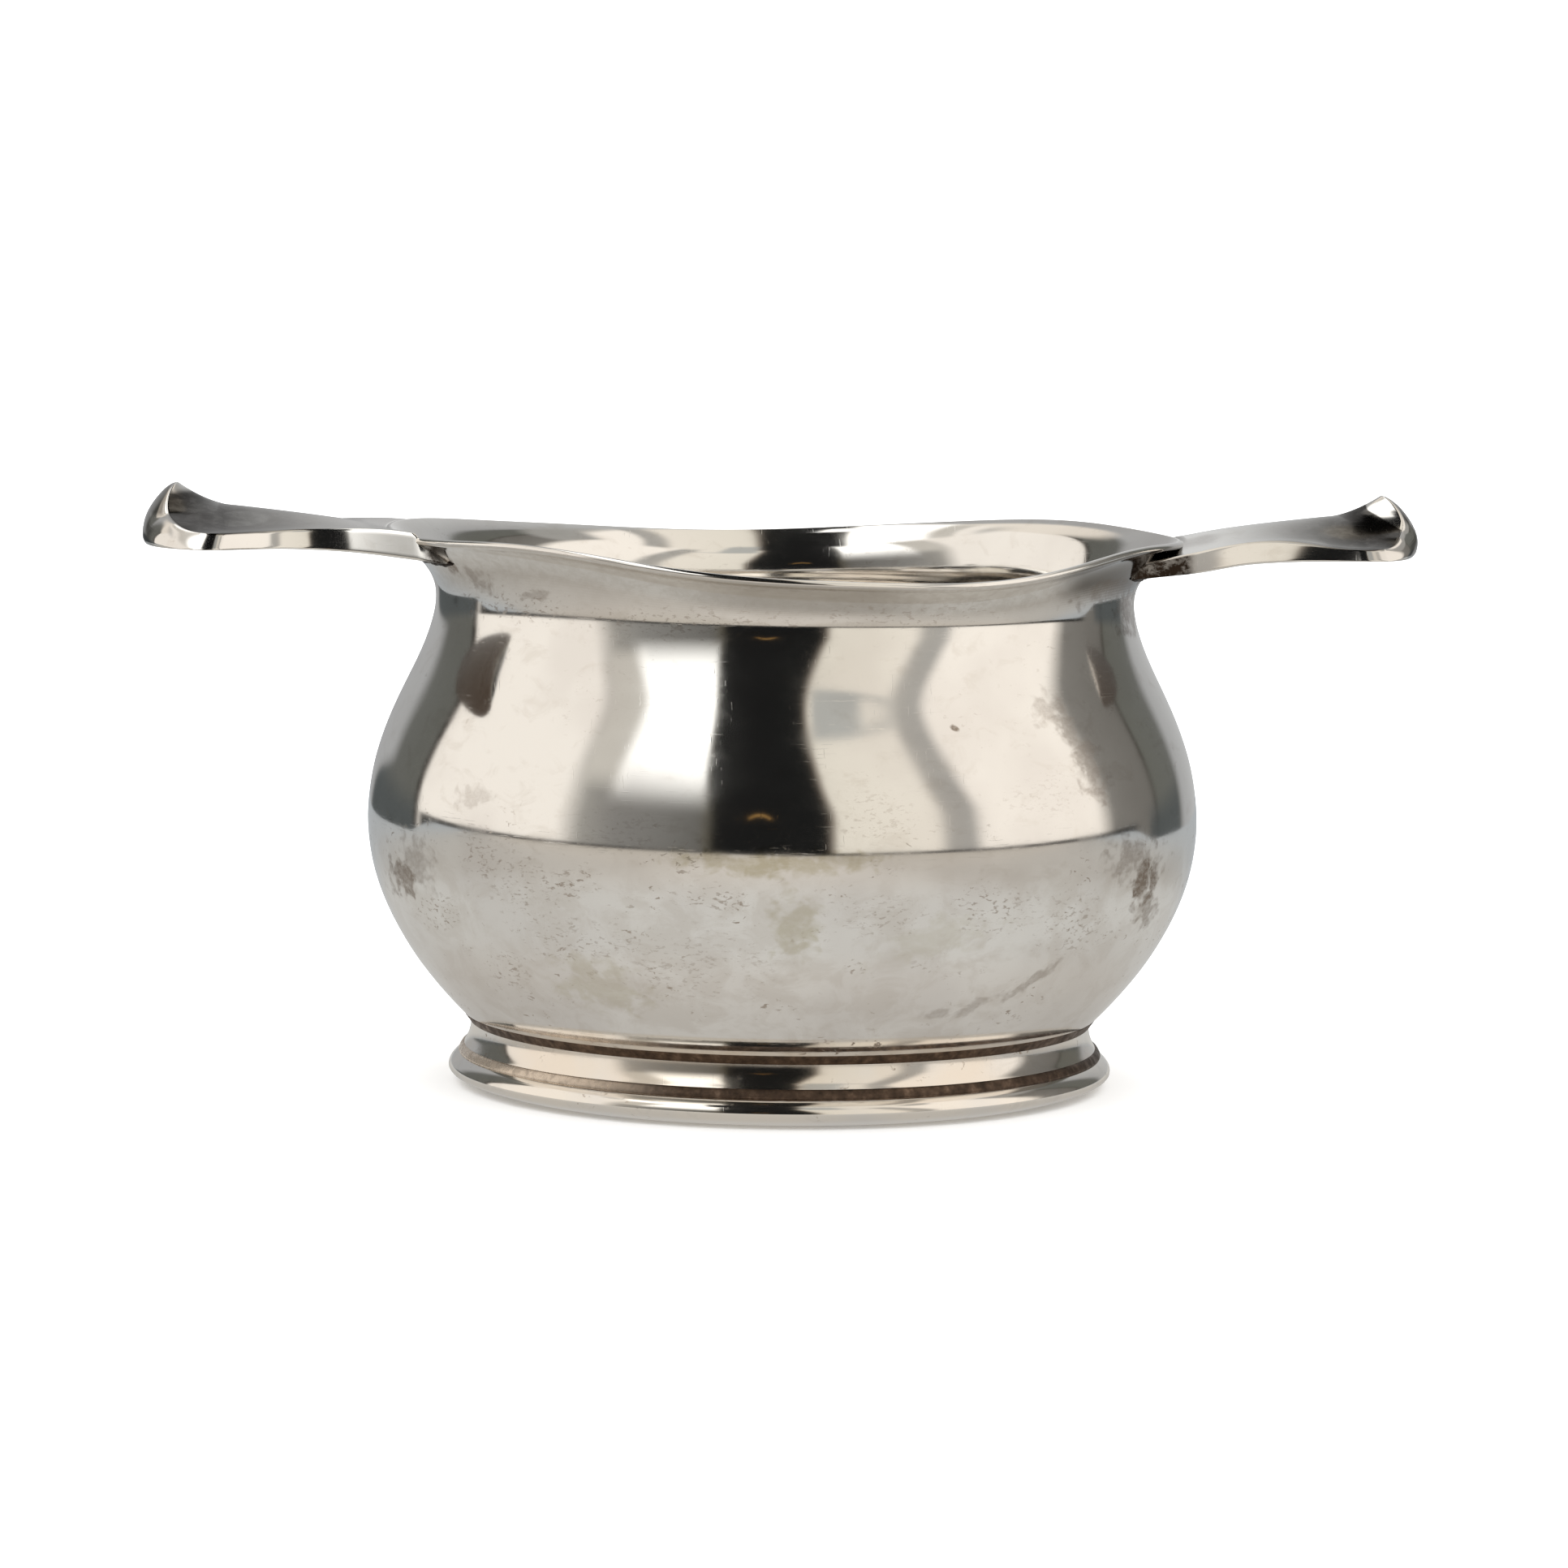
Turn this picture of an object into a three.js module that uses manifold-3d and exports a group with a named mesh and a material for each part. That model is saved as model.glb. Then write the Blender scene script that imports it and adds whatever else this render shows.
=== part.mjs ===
// Two-handled silver porringer: a raised, bellied bowl with a waved, everted
// lip, standing on a two-piece foot, with a pair of wrought lug handles.
// Millimetres, +Z up.  The origin is the middle of the plane that the foot
// rests on; the handles point along +X and -X.
import * as THREE from 'three';
import { mergeVertices } from 'three/addons/utils/BufferGeometryUtils.js';
import Module from 'manifold-3d';

const wasm = await Module();
wasm.setup();

// ---------------------------------------------------------------- dimensions
const SEGMENTS = 60;            // facets round the axis
const WALL = 0.70;              // thickness of the raised sheet
const GAP = 0.36;               // room for solder between two wrought pieces
const SOLDER_CLEAR = 0.10;      // clearance on each side of a solder film

// outer face of the bowl, [radius, height], from the middle of the base up
const BOWL_OUTER = [
  [0, 2.60], [8, 2.60], [15, 2.60], [19.4, 2.61], [22.3, 2.78], [24.6, 3.33],
  [26.7, 4.58], [28.4, 6.05], [30.2, 7.90], [31.7, 9.65], [33.05, 11.4],
  [34.2, 13.2], [35.2, 15.0], [36.0, 16.75], [36.65, 18.5], [37.1, 20.3],
  [37.38, 22.1], [37.50, 23.9], [37.42, 25.6], [37.2, 27.4], [36.85, 29.2],
  [36.35, 30.9], [35.7, 32.7], [34.92, 34.5], [34.05, 36.3], [33.2, 38.0],
  [32.4, 39.8], [31.8, 41.6], [31.46, 43.2], [31.42, 44.4], [31.68, 45.5],
  [32.25, 46.4], [33.0, 47.0], [33.55, 47.28],
];
const LIP_RADIUS = 33.8;        // lip edge at the front and back
const LIP_RADIUS_HANDLE = 36.1; // lip drawn out over each handle root
const LIP_SPREAD = 22;          // degrees, how wide that drawing-out is
const LIP_HEIGHT = 47.6;        // lip edge height that the profile is drawn at
const LIP_FREE_FROM = 42.0;     // the wave dies out at this height
// height of the lip edge round the bowl: mean, then cos and sin of 1x, 2x ...
const LIP_MEAN = 48.75;
const LIP_WAVE = [[-0.31, 0.08], [0.95, 0.35], [0.0, 0.01], [-0.32, -0.22],
  [-0.12, 0.01], [-0.11, -0.10], [-0.10, 0.07]];
const LIP_RIGHT_LIFT = 0.40;    // lip laid onto the right handle

const COLLAR_TOP_R = 28.0;      // concave band of the foot
const COLLAR_INNER_R = 26.2;
const BASE_TOP = 2.80;          // moulded base ring
const COLLAR_BOTTOM = 3.10;

// a pair of numbers or tables below is for the right and the left handle
const HANDLE_REACH = [57.0, 57.6];    // end of the underside from the axis
const HANDLE_TIP = [54.4, 54.8];      // raised tip from the axis
// half width against distance from the axis
const HANDLE_HALF_WIDTH = [
  [[26, 11.9], [29, 11.7], [31, 11.25], [33, 10.7], [35, 10.0], [37, 9.3],
    [39, 8.7], [41, 8.28], [43, 8.05], [45, 8.0], [47, 8.14], [49, 8.5],
    [51, 9.05], [53, 9.8], [55, 10.7], [58, 11.7]],
  [[26, 11.9], [29, 11.6], [31, 11.1], [33, 10.35], [35, 9.45], [37, 8.6],
    [39, 7.92], [41, 7.52], [42.8, 7.42], [44.6, 7.6], [46.6, 8.2], [49, 9.5],
    [51, 10.8], [53, 11.7], [55, 12.1], [58, 12.2]],
];
const HANDLE_UNDER = [[26, 46.8], [30, 47.1], [33, 47.37], [36, 47.6],
  [38, 47.8], [40, 48.0], [42, 48.14], [45, 48.27], [48, 48.33], [52, 48.38],
  [58, 48.42]];
const HANDLE_SPINE = [[26, 48.2], [30, 48.6], [33, 49.2], [35.3, 49.75],
  [37.1, 50.1], [38.6, 50.4], [40.7, 50.75], [44.2, 51.22], [48, 51.65],
  [50, 51.85], [52, 51.98], [56, 52.05]];
const HANDLE_EDGE = [[26, 48.3], [30, 48.75], [33, 49.25], [36, 49.67],
  [39, 49.96], [41.3, 50.08], [44, 50.1], [46.5, 49.92], [49, 49.7],
  [51.5, 49.64], [56, 49.8]];
// the left handle sits this much higher than the mean of the two, the right lower
const UNDER_LIFT = [[26, 0.58], [33, 0.58], [37, 0.54], [40, 0.38], [44, 0.31],
  [48, 0.27], [58, 0.25]];
const SPINE_LIFT = [[26, 0.25], [37, 0.20], [44, 0.18], [58, 0.17]];
const EDGE_LIFT = [[26, 0.78], [36, 0.74], [39, 0.48], [41.3, 0.30], [44, 0.22],
  [46.5, 0.27], [49, 0.42], [52, 0.45], [58, 0.45]];
const LEFT_ROOT_DROP = 0.2;     // underside of the left root, below that line
const END_SWELL = [1.3, 0.85];  // the end stands out beside its tip
const END_CUT = [3.3, 4.1];     // and falls back towards its corners
const END_POWER = [1.2, 1.9];
const END_FOOT = [2.2, 3.3];
const CURL_LENGTH = 4.9;        // the end turns up over this length
const CURL_HEIGHT = [1.80, 1.95];
const CURL_WIDTH = 4.4;
const WALL_LEAN = [0.24, 0.32]; // the sides lean in this much from mid height
const CORNER_FROM = [0.62, 0.86]; // corners rounded beyond this much of width and length
const CORNER_ROUND = 0.28;

// ------------------------------------------------------------------- helpers
const lerpTable = (table, x) => {
  if (x <= table[0][0]) return table[0][1];
  for (let i = 1; i < table.length; i++) {
    if (x <= table[i][0]) {
      const [x0, y0] = table[i - 1];
      const [x1, y1] = table[i];
      return y0 + (y1 - y0) * (x - x0) / (x1 - x0);
    }
  }
  return table[table.length - 1][1];
};
const smooth = (u) => {
  const v = Math.min(1, Math.max(0, u));
  return v * v * v * (v * (6 * v - 15) + 10);
};
const degFromHandle = (phi) => {
  const m = ((phi % Math.PI) + Math.PI) % Math.PI;
  return THREE.MathUtils.radToDeg(Math.min(m, Math.PI - m));
};
const lipRadius = (phi) => LIP_RADIUS
  + (LIP_RADIUS_HANDLE - LIP_RADIUS) * Math.exp(-((degFromHandle(phi) / LIP_SPREAD) ** 2));
const lipHeight = (phi) => {
  let z = LIP_MEAN;
  LIP_WAVE.forEach(([c, s], i) => { z += c * Math.cos((i + 1) * phi) + s * Math.sin((i + 1) * phi); });
  const right = THREE.MathUtils.radToDeg(Math.abs(Math.atan2(Math.sin(phi), Math.cos(phi))));
  return z + LIP_RIGHT_LIFT * Math.exp(-((right / 18) ** 2));
};
// moves a point of the turned profile to the waved lip
const wave = (r, z, phi) => {
  const b = smooth((z - LIP_FREE_FROM) / (LIP_HEIGHT - LIP_FREE_FROM));
  return [r + (lipRadius(phi) - LIP_RADIUS) * b ** 2.4, z + (lipHeight(phi) - LIP_HEIGHT) * b];
};

// turned solid about Z from a [radius, height] profile; the profile starts and
// ends on the axis, or closes on itself
const turned = (profile, bend) => {
  const geometry = new THREE.LatheGeometry(profile.map(([r, z]) => new THREE.Vector2(r, z)), SEGMENTS);
  const p = geometry.attributes.position;
  for (let i = 0; i < p.count; i++) {
    const x = p.getX(i);
    const z = p.getY(i);
    const y = -p.getZ(i);
    let r = Math.hypot(x, y);
    let h = z;
    let phi = Math.atan2(y, x);
    if (r < 1e-4) { r = 0; phi = 0; }
    if (bend) [r, h] = bend(r, h, phi);
    p.setXYZ(i, r * Math.cos(phi), r * Math.sin(phi), h);
  }
  return cleaned(geometry);
};

// one closed surface: shared vertices merged and needle triangles dropped
const cleaned = (geometry) => {
  let g = geometry.clone();
  g.deleteAttribute('normal');
  g.deleteAttribute('uv');
  g = mergeVertices(g, 1e-4);
  const index = g.index.array;
  const keep = [];
  for (let i = 0; i < index.length; i += 3) {
    const [a, b, c] = [index[i], index[i + 1], index[i + 2]];
    if (a !== b && b !== c && a !== c) keep.push(a, b, c);
  }
  g.setIndex(keep);
  g.computeVertexNormals();
  return g;
};

const toManifold = (geometry) => new wasm.Manifold(new wasm.Mesh({
  numProp: 3,
  vertProperties: new Float32Array(geometry.attributes.position.array),
  triVerts: new Uint32Array(geometry.index.array),
}));
const fromManifold = (solid) => {
  const mesh = solid.getMesh();
  const g = new THREE.BufferGeometry();
  g.setAttribute('position', new THREE.BufferAttribute(new Float32Array(mesh.vertProperties), 3));
  g.setIndex(Array.from(mesh.triVerts));
  g.computeVertexNormals();
  return g;
};
// keeps the largest body of a solid that a cut has split
const mainBody = (solid) => {
  const parts = solid.decompose();
  return parts.reduce((a, b) => (b.volume() > a.volume() ? b : a));
};

// the smooth outer curve of the bowl and its offsets
const outerCurve = new THREE.SplineCurve(BOWL_OUTER.slice(3).map(([r, z]) => new THREE.Vector2(r, z)));
const CURVE_STEPS = 24;
const outerPoints = [];
for (let i = 0; i <= CURVE_STEPS; i++) {
  const u = i / CURVE_STEPS;
  const p = outerCurve.getPoint(u);
  const t = outerCurve.getTangent(u);
  outerPoints.push({ r: p.x, z: p.y, nr: t.y, nz: -t.x });
}
const offsetProfile = (d) => outerPoints.map(({ r, z, nr, nz }) => [r + d * nr, z + d * nz]);

// ---------------------------------------------------------------- bowl body
const outer = offsetProfile(0);
const inner = offsetProfile(-WALL).reverse();
const last = outerPoints[outerPoints.length - 1];
const lipMid = [last.r - (WALL / 2) * last.nr, last.z - (WALL / 2) * last.nz];
const lipEdge = [-52, 0, 52].map((deg) => {
  const a = THREE.MathUtils.degToRad(deg);
  const along = (WALL / 2) * Math.cos(a);
  const across = -(WALL / 2) * Math.sin(a);
  return [lipMid[0] + along * -last.nz + across * last.nr, lipMid[1] + along * last.nr + across * last.nz];
});
const floor = BOWL_OUTER[0][1];
const bowlProfile = [[0, floor], [10, floor], ...outer, ...lipEdge, ...inner,
  [10, floor + WALL], [0, floor + WALL]];
const bowlGeometry = turned(bowlProfile, wave);

// everything inside the bowl's outer face pushed out by d, and the space above
// the lip: what the handles and their solder are cut back with
const bowlPlug = (d) => {
  const side = offsetProfile(d).filter(([, z]) => z > 20);
  return toManifold(turned([[0, side[0][1]], ...side,
    [LIP_RADIUS + d, LIP_HEIGHT + 0.05], [LIP_RADIUS + d, 60], [0, 60]],
  (r, z, phi) => (z > LIP_HEIGHT ? [r > 0 ? r + lipRadius(phi) - LIP_RADIUS : 0, z > 59 ? z : lipHeight(phi) + z - LIP_HEIGHT] : wave(r, z, phi))));
};

// --------------------------------------------------------------------- foot
// the seat that the foot has on the underside of the bowl
const seat = (d, from, to) => offsetProfile(d).filter(([r]) => r >= from && r <= to);
const seatZ = (d, r) => {
  const line = offsetProfile(d);
  for (let i = 1; i < line.length; i++) {
    if (line[i][0] >= r) {
      const [r0, z0] = line[i - 1];
      const [r1, z1] = line[i];
      return z0 + (z1 - z0) * (r - r0) / (r1 - r0);
    }
  }
  return 0;
};
const closeProfile = (profile) => [...profile, profile[0]];
const collarProfile = closeProfile([
  [COLLAR_INNER_R, COLLAR_BOTTOM], [28.75, COLLAR_BOTTOM], [28.62, 3.45],
  [28.32, 3.85], [28.1, 4.3], [COLLAR_TOP_R, 4.8],
  [COLLAR_TOP_R + 0.03, seatZ(GAP, COLLAR_TOP_R + 0.03)],
  ...seat(GAP, 26.9, 27.7).reverse(),
  [COLLAR_INNER_R, seatZ(GAP, COLLAR_INNER_R)],
]);
const collarGeometry = turned(collarProfile);

const footSolderProfile = closeProfile([
  [COLLAR_INNER_R, seatZ(GAP - SOLDER_CLEAR, COLLAR_INNER_R)],
  [COLLAR_TOP_R + 0.05, seatZ(GAP - SOLDER_CLEAR, COLLAR_TOP_R + 0.05)],
  [COLLAR_TOP_R + 0.16, seatZ(SOLDER_CLEAR, COLLAR_TOP_R + 0.16)],
  [COLLAR_INNER_R, seatZ(SOLDER_CLEAR, COLLAR_INNER_R)],
]);
const footSolderGeometry = turned(footSolderProfile);

const ringSolderProfile = closeProfile([
  [26.5, BASE_TOP + SOLDER_CLEAR], [28.55, BASE_TOP + SOLDER_CLEAR],
  [28.55, COLLAR_BOTTOM - SOLDER_CLEAR], [26.5, COLLAR_BOTTOM - SOLDER_CLEAR],
]);
const ringSolderGeometry = turned(ringSolderProfile);

const baseRingProfile = closeProfile([
  [26.2, 0], [27.4, 0], [28.1, 0.24], [28.8, 0.46], [29.4, 0.70], [29.82, 0.98],
  [30.0, 1.35], [29.94, 1.75], [29.68, 2.16], [29.36, 2.46], [28.95, BASE_TOP - 0.08], [28.6, BASE_TOP],
  [26.2, BASE_TOP],
]);
const baseRingGeometry = turned(baseRingProfile);

// ------------------------------------------------------------------ handles
// Handle frame: s outward from the axis, t across, z up.  The underside is
// nearly flat, the sides lean in a little, and the top swells to a low spine
// that rises to a pointed tip at the turned-up end.
const handleGeometry = (side) => {
  const k = side > 0 ? 0 : 1;
  const endTop = (t) => {
    const a = Math.abs(t);
    return HANDLE_TIP[k] + END_SWELL[k] * Math.sin(Math.min(1, a / 4.2) * Math.PI / 2)
      - END_CUT[k] * (Math.max(0, a - 3.8) / 8.4) ** END_POWER[k] - 0.4 * (a / 12.2) ** 14;
  };
  const endUnder = (t) => {
    const a = Math.abs(t) / 12.2;
    return HANDLE_REACH[k] - 5.0 * a ** END_FOOT[k] - 0.4 * a ** 14;
  };
  const width = (s) => lerpTable(HANDLE_HALF_WIDTH[k], s);
  const underLine = (s) => lerpTable(HANDLE_UNDER, s) - side * lerpTable(UNDER_LIFT, s)
    - (side > 0 ? 0 : LEFT_ROOT_DROP * (1 - smooth((s - 31) / 11)));
  const spineLine = (s) => lerpTable(HANDLE_SPINE, s) - side * lerpTable(SPINE_LIFT, s);
  const edgeLine = (s) => lerpTable(HANDLE_EDGE, s) - side * lerpTable(EDGE_LIFT, s);
  const NV = 16;
  // the columns lie closer together along the middle, where the tip rises
  const across = [-1, -0.9, -0.78, -0.64, -0.5, -0.34, -0.2, -0.08, 0.08, 0.2, 0.34, 0.5, 0.64, 0.78, 0.9, 1];
  across.splice(8, 0, 0);
  const NU = across.length - 1;
  const rootAt = 28;
  const positions = [];
  const index = [];
  const stations = [];
  for (let i = 0; i <= NV; i++) {
    const v = i / NV;
    stations.push(v < 0.999 ? 1 - (1 - v) ** 1.35 : 1);
  }
  // a point of the plan: v from the root to the end, u from side to side
  const plan = (v0, u0, end, extra) => {
    const a = Math.max(0, (Math.abs(u0) - CORNER_FROM[0]) / (1 - CORNER_FROM[0]));
    const b = Math.max(0, (v0 - CORNER_FROM[1]) / (1 - CORNER_FROM[1]));
    const u = u0 - Math.sign(u0) * (1 - CORNER_FROM[0]) * CORNER_ROUND * a * b * b;
    const v = v0 - (1 - CORNER_FROM[1]) * CORNER_ROUND * b * a * a;
    let s = rootAt + (HANDLE_TIP[k] - rootAt) * v;
    let t = u * (width(s) + extra);
    for (let n = 0; n < 40; n++) {
      s = 0.5 * s + 0.5 * (rootAt + (end(t) - rootAt) * v);
      t = u * (width(s) + extra);
    }
    return [s, t];
  };
  const topPoint = (v, u) => {
    const [s, t] = plan(v, u, endTop, -WALL_LEAN[k]);
    const g = 0.5 * (1 + Math.cos(Math.PI * u));
    const d = Math.max(0, endTop(t) - s);
    const beak = Math.max(0, 1 - (Math.sqrt(t * t + 0.49) - 0.7) / CURL_WIDTH) ** 1.15;
    const curl = CURL_HEIGHT[k] * beak * Math.max(0, 1 - d / CURL_LENGTH) ** 1.75;
    return [s, t, edgeLine(s) * (1 - g) + spineLine(s) * g + curl];
  };
  const underPoint = (v, u) => {
    const [s, t] = plan(v, u, endUnder, WALL_LEAN[k]);
    return [s, t, underLine(s)];
  };
  const push = (p) => { positions.push(...p); return positions.length / 3 - 1; };
  const top = stations.map((v) => across.map((u) => push(topPoint(v, u))));
  const under = stations.map((v) => across.map((u) => push(underPoint(v, u))));
  const bulge = [1, 2, 3].map((m) => across.map((u) => {
    const a = topPoint(1, u);
    const b = underPoint(1, u);
    const f = m / 4;
    const out = 0.9 * (1 - u * u) * Math.sin(f * Math.PI) ** 0.8;
    return push([a[0] + (b[0] - a[0]) * f + out, a[1] + (b[1] - a[1]) * f, a[2] + (b[2] - a[2]) * f + out * 0.15]);
  }));
  const quad = (a, b, c, d) => index.push(a, b, c, a, c, d);
  for (let i = 0; i < NV; i++) {
    for (let j = 0; j < NU; j++) {
      quad(top[i][j], top[i + 1][j], top[i + 1][j + 1], top[i][j + 1]);
      quad(under[i][j], under[i][j + 1], under[i + 1][j + 1], under[i + 1][j]);
    }
    quad(top[i][0], under[i][0], under[i + 1][0], top[i + 1][0]);
    quad(top[i][NU], top[i + 1][NU], under[i + 1][NU], under[i][NU]);
  }
  const face = [top[NV], ...bulge, under[NV]];
  for (let m = 0; m < face.length - 1; m++) {
    for (let j = 0; j < NU; j++) quad(face[m][j], face[m + 1][j], face[m + 1][j + 1], face[m][j + 1]);
  }
  for (let j = 0; j < NU; j++) quad(top[0][j], top[0][j + 1], under[0][j + 1], under[0][j]);
  // the narrow ends of the end face
  for (const j of [0, NU]) {
    for (let m = 1; m < face.length - 1; m++) {
      const tri = [face[0][j], face[m][j], face[m + 1][j]];
      if (j === 0) index.push(tri[0], tri[2], tri[1]);
      else index.push(tri[0], tri[1], tri[2]);
    }
  }
  const g = new THREE.BufferGeometry();
  g.setAttribute('position', new THREE.BufferAttribute(new Float32Array(positions), 3));
  g.setIndex(index);
  return cleaned(g);
};

const handleSolid = (side) => {
  const g = handleGeometry(side);
  // the left handle is built like the right one and turned half round
  g.applyMatrix4(new THREE.Matrix4().makeRotationZ(side > 0 ? 0 : Math.PI));
  return toManifold(g);
};
const plugWide = bowlPlug(GAP);
const plugSolder = bowlPlug(GAP - SOLDER_CLEAR);
const plugNear = bowlPlug(SOLDER_CLEAR);
const makeHandle = (side) => {
  const solid = handleSolid(side);
  const body = mainBody(solid.subtract(plugWide));
  const film = mainBody(solid.intersect(plugSolder).subtract(plugNear));
  return { body: fromManifold(body), film: fromManifold(film) };
};
const left = makeHandle(-1);
const right = makeHandle(1);

// ----------------------------------------------------------------- assembly
const silver = () => new THREE.MeshStandardMaterial({ color: 0xc9c5bd, roughness: 0.16, metalness: 1 });
const footSilver = () => new THREE.MeshStandardMaterial({ color: 0xc6bcae, roughness: 0.18, metalness: 1 });
const solder = () => new THREE.MeshStandardMaterial({ color: 0x6b5444, roughness: 0.55, metalness: 0.7 });

const group = new THREE.Group();
const add = (name, geometry, material) => {
  const mesh = new THREE.Mesh(geometry, material);
  mesh.name = name;
  group.add(mesh);
};
add('bowl_body', bowlGeometry, silver());
add('foot_collar', collarGeometry, footSilver());
add('foot_base_ring', baseRingGeometry, footSilver());
add('handle_left', left.body, silver());
add('handle_right', right.body, silver());
add('foot_solder_seam', footSolderGeometry, solder());
add('base_ring_solder_seam', ringSolderGeometry, solder());
add('handle_left_solder', left.film, solder());
add('handle_right_solder', right.film, solder());

export default group;
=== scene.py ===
import math

import bpy
import numpy as np
from mathutils import Matrix, Vector


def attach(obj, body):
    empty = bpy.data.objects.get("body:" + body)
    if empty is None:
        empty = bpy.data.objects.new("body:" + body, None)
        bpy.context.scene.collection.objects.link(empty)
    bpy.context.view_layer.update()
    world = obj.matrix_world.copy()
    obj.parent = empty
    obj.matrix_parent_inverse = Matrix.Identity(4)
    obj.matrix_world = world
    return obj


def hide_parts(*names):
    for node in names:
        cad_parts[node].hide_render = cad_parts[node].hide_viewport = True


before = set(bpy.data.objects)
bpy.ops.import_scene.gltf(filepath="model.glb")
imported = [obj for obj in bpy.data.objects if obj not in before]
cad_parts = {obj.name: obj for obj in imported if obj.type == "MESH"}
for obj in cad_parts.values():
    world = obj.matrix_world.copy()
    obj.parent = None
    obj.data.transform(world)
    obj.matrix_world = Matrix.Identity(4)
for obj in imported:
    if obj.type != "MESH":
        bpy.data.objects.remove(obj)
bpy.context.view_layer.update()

MM = 0.001

# ------------------------------------------------------------------ dimensions
# millimetres, the same numbers as the CAD model
WALL = 0.70
BOWL_OUTER = [
    (0, 2.60), (8, 2.60), (15, 2.60), (19.4, 2.61), (22.3, 2.78), (24.6, 3.33),
    (26.7, 4.58), (28.4, 6.05), (30.2, 7.90), (31.7, 9.65), (33.05, 11.4),
    (34.2, 13.2), (35.2, 15.0), (36.0, 16.75), (36.65, 18.5), (37.1, 20.3),
    (37.38, 22.1), (37.50, 23.9), (37.42, 25.6), (37.2, 27.4), (36.85, 29.2),
    (36.35, 30.9), (35.7, 32.7), (34.92, 34.5), (34.05, 36.3), (33.2, 38.0),
    (32.4, 39.8), (31.8, 41.6), (31.46, 43.2), (31.42, 44.4), (31.68, 45.5),
    (32.25, 46.4), (33.0, 47.0), (33.55, 47.28),
]
LIP_RADIUS = 33.8
LIP_RADIUS_HANDLE = 36.1
LIP_SPREAD = 22.0
LIP_HEIGHT = 47.6
LIP_FREE_FROM = 42.2
LIP_MEAN = 48.75
LIP_WAVE = [(-0.31, 0.08), (0.95, 0.35), (0.0, 0.01), (-0.32, -0.22),
            (-0.12, 0.01), (-0.11, -0.10), (-0.10, 0.07)]
LIP_RIGHT_LIFT = 0.40

HANDLE_REACH = (57.0, 57.6)        # right, left
HANDLE_TIP = (54.4, 54.8)
HALF_WIDTH_RIGHT = [(26, 11.9), (29, 11.7), (31, 11.25), (33, 10.7), (35, 10.0), (37, 9.3),
                    (39, 8.7), (41, 8.28), (43, 8.05), (45, 8.0), (47, 8.14), (49, 8.5),
                    (51, 9.05), (53, 9.8), (55, 10.7), (58, 11.7)]
HALF_WIDTH_LEFT = [(26, 11.9), (29, 11.6), (31, 11.1), (33, 10.35), (35, 9.45), (37, 8.6),
                   (39, 7.92), (41, 7.52), (42.8, 7.42), (44.6, 7.6), (46.6, 8.2), (49, 9.5),
                   (51, 10.8), (53, 11.7), (55, 12.1), (58, 12.2)]
HANDLE_UNDER = [(26, 46.8), (30, 47.1), (33, 47.37), (36, 47.6), (38, 47.8), (40, 48.0),
                (42, 48.14), (45, 48.27), (48, 48.33), (52, 48.38), (58, 48.42)]
HANDLE_SPINE = [(26, 48.2), (30, 48.6), (33, 49.2), (35.3, 49.75), (37.1, 50.1),
                (38.6, 50.4), (40.7, 50.75), (44.2, 51.22), (48, 51.65), (50, 51.85),
                (52, 51.98), (56, 52.05)]
HANDLE_EDGE = [(26, 48.3), (30, 48.75), (33, 49.25), (36, 49.67), (39, 49.96), (41.3, 50.08),
               (44, 50.1), (46.5, 49.92), (49, 49.7), (51.5, 49.64), (56, 49.8)]
# the left lug sits this much higher than the mean of the two, the right one lower
UNDER_LIFT = [(26, 0.58), (33, 0.58), (37, 0.54), (40, 0.38), (44, 0.31), (48, 0.27), (58, 0.25)]
EDGE_LIFT = [(26, 0.78), (36, 0.74), (39, 0.48), (41.3, 0.30), (44, 0.22), (46.5, 0.27),
             (49, 0.42), (52, 0.45), (58, 0.45)]
SPINE_LIFT = [(26, 0.25), (37, 0.20), (44, 0.18), (58, 0.17)]
END_CUT = (3.3, 4.1)               # how far the corners of the end fall back: right, left
END_POWER = (1.2, 1.9)
END_FOOT = (2.2, 3.3)
CURL_LENGTH = 4.9
CURL_HEIGHT = (1.80, 1.95)
CURL_WIDTH = 4.4
WALL_LEAN = (0.24, 0.32)
CORNER_FROM = (0.62, 0.86)         # the end's corners are rounded beyond this much of width and length
CORNER_ROUND = 0.28


# --------------------------------------------------------------------- helpers
def smooth(u):
    v = np.clip(u, 0.0, 1.0)
    return v * v * v * (v * (6 * v - 15) + 10)


def mix(a, b, f):
    return a + (b - a) * f


class Spline:
    """Smooth curve through a table of values, straight beyond its ends."""

    def __init__(self, table):
        self.x = np.array([p[0] for p in table], float)
        self.y = np.array([p[1] for p in table], float)
        n = len(self.x)
        h = np.diff(self.x)
        a = np.zeros((n, n))
        b = np.zeros(n)
        a[0, 0] = a[-1, -1] = 1.0
        for i in range(1, n - 1):
            a[i, i - 1], a[i, i], a[i, i + 1] = h[i - 1], 2 * (h[i - 1] + h[i]), h[i]
            b[i] = 6 * ((self.y[i + 1] - self.y[i]) / h[i] - (self.y[i] - self.y[i - 1]) / h[i - 1])
        self.m = np.linalg.solve(a, b)
        self.h = h

    def __call__(self, s):
        s = np.asarray(s, float)
        c = np.clip(s, self.x[0], self.x[-1])
        i = np.clip(np.searchsorted(self.x, c) - 1, 0, len(self.h) - 1)
        h = self.h[i]
        a = (self.x[i + 1] - c) / h
        b = (c - self.x[i]) / h
        return (a * self.y[i] + b * self.y[i + 1]
                + ((a ** 3 - a) * self.m[i] + (b ** 3 - b) * self.m[i + 1]) * h * h / 6)


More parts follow.
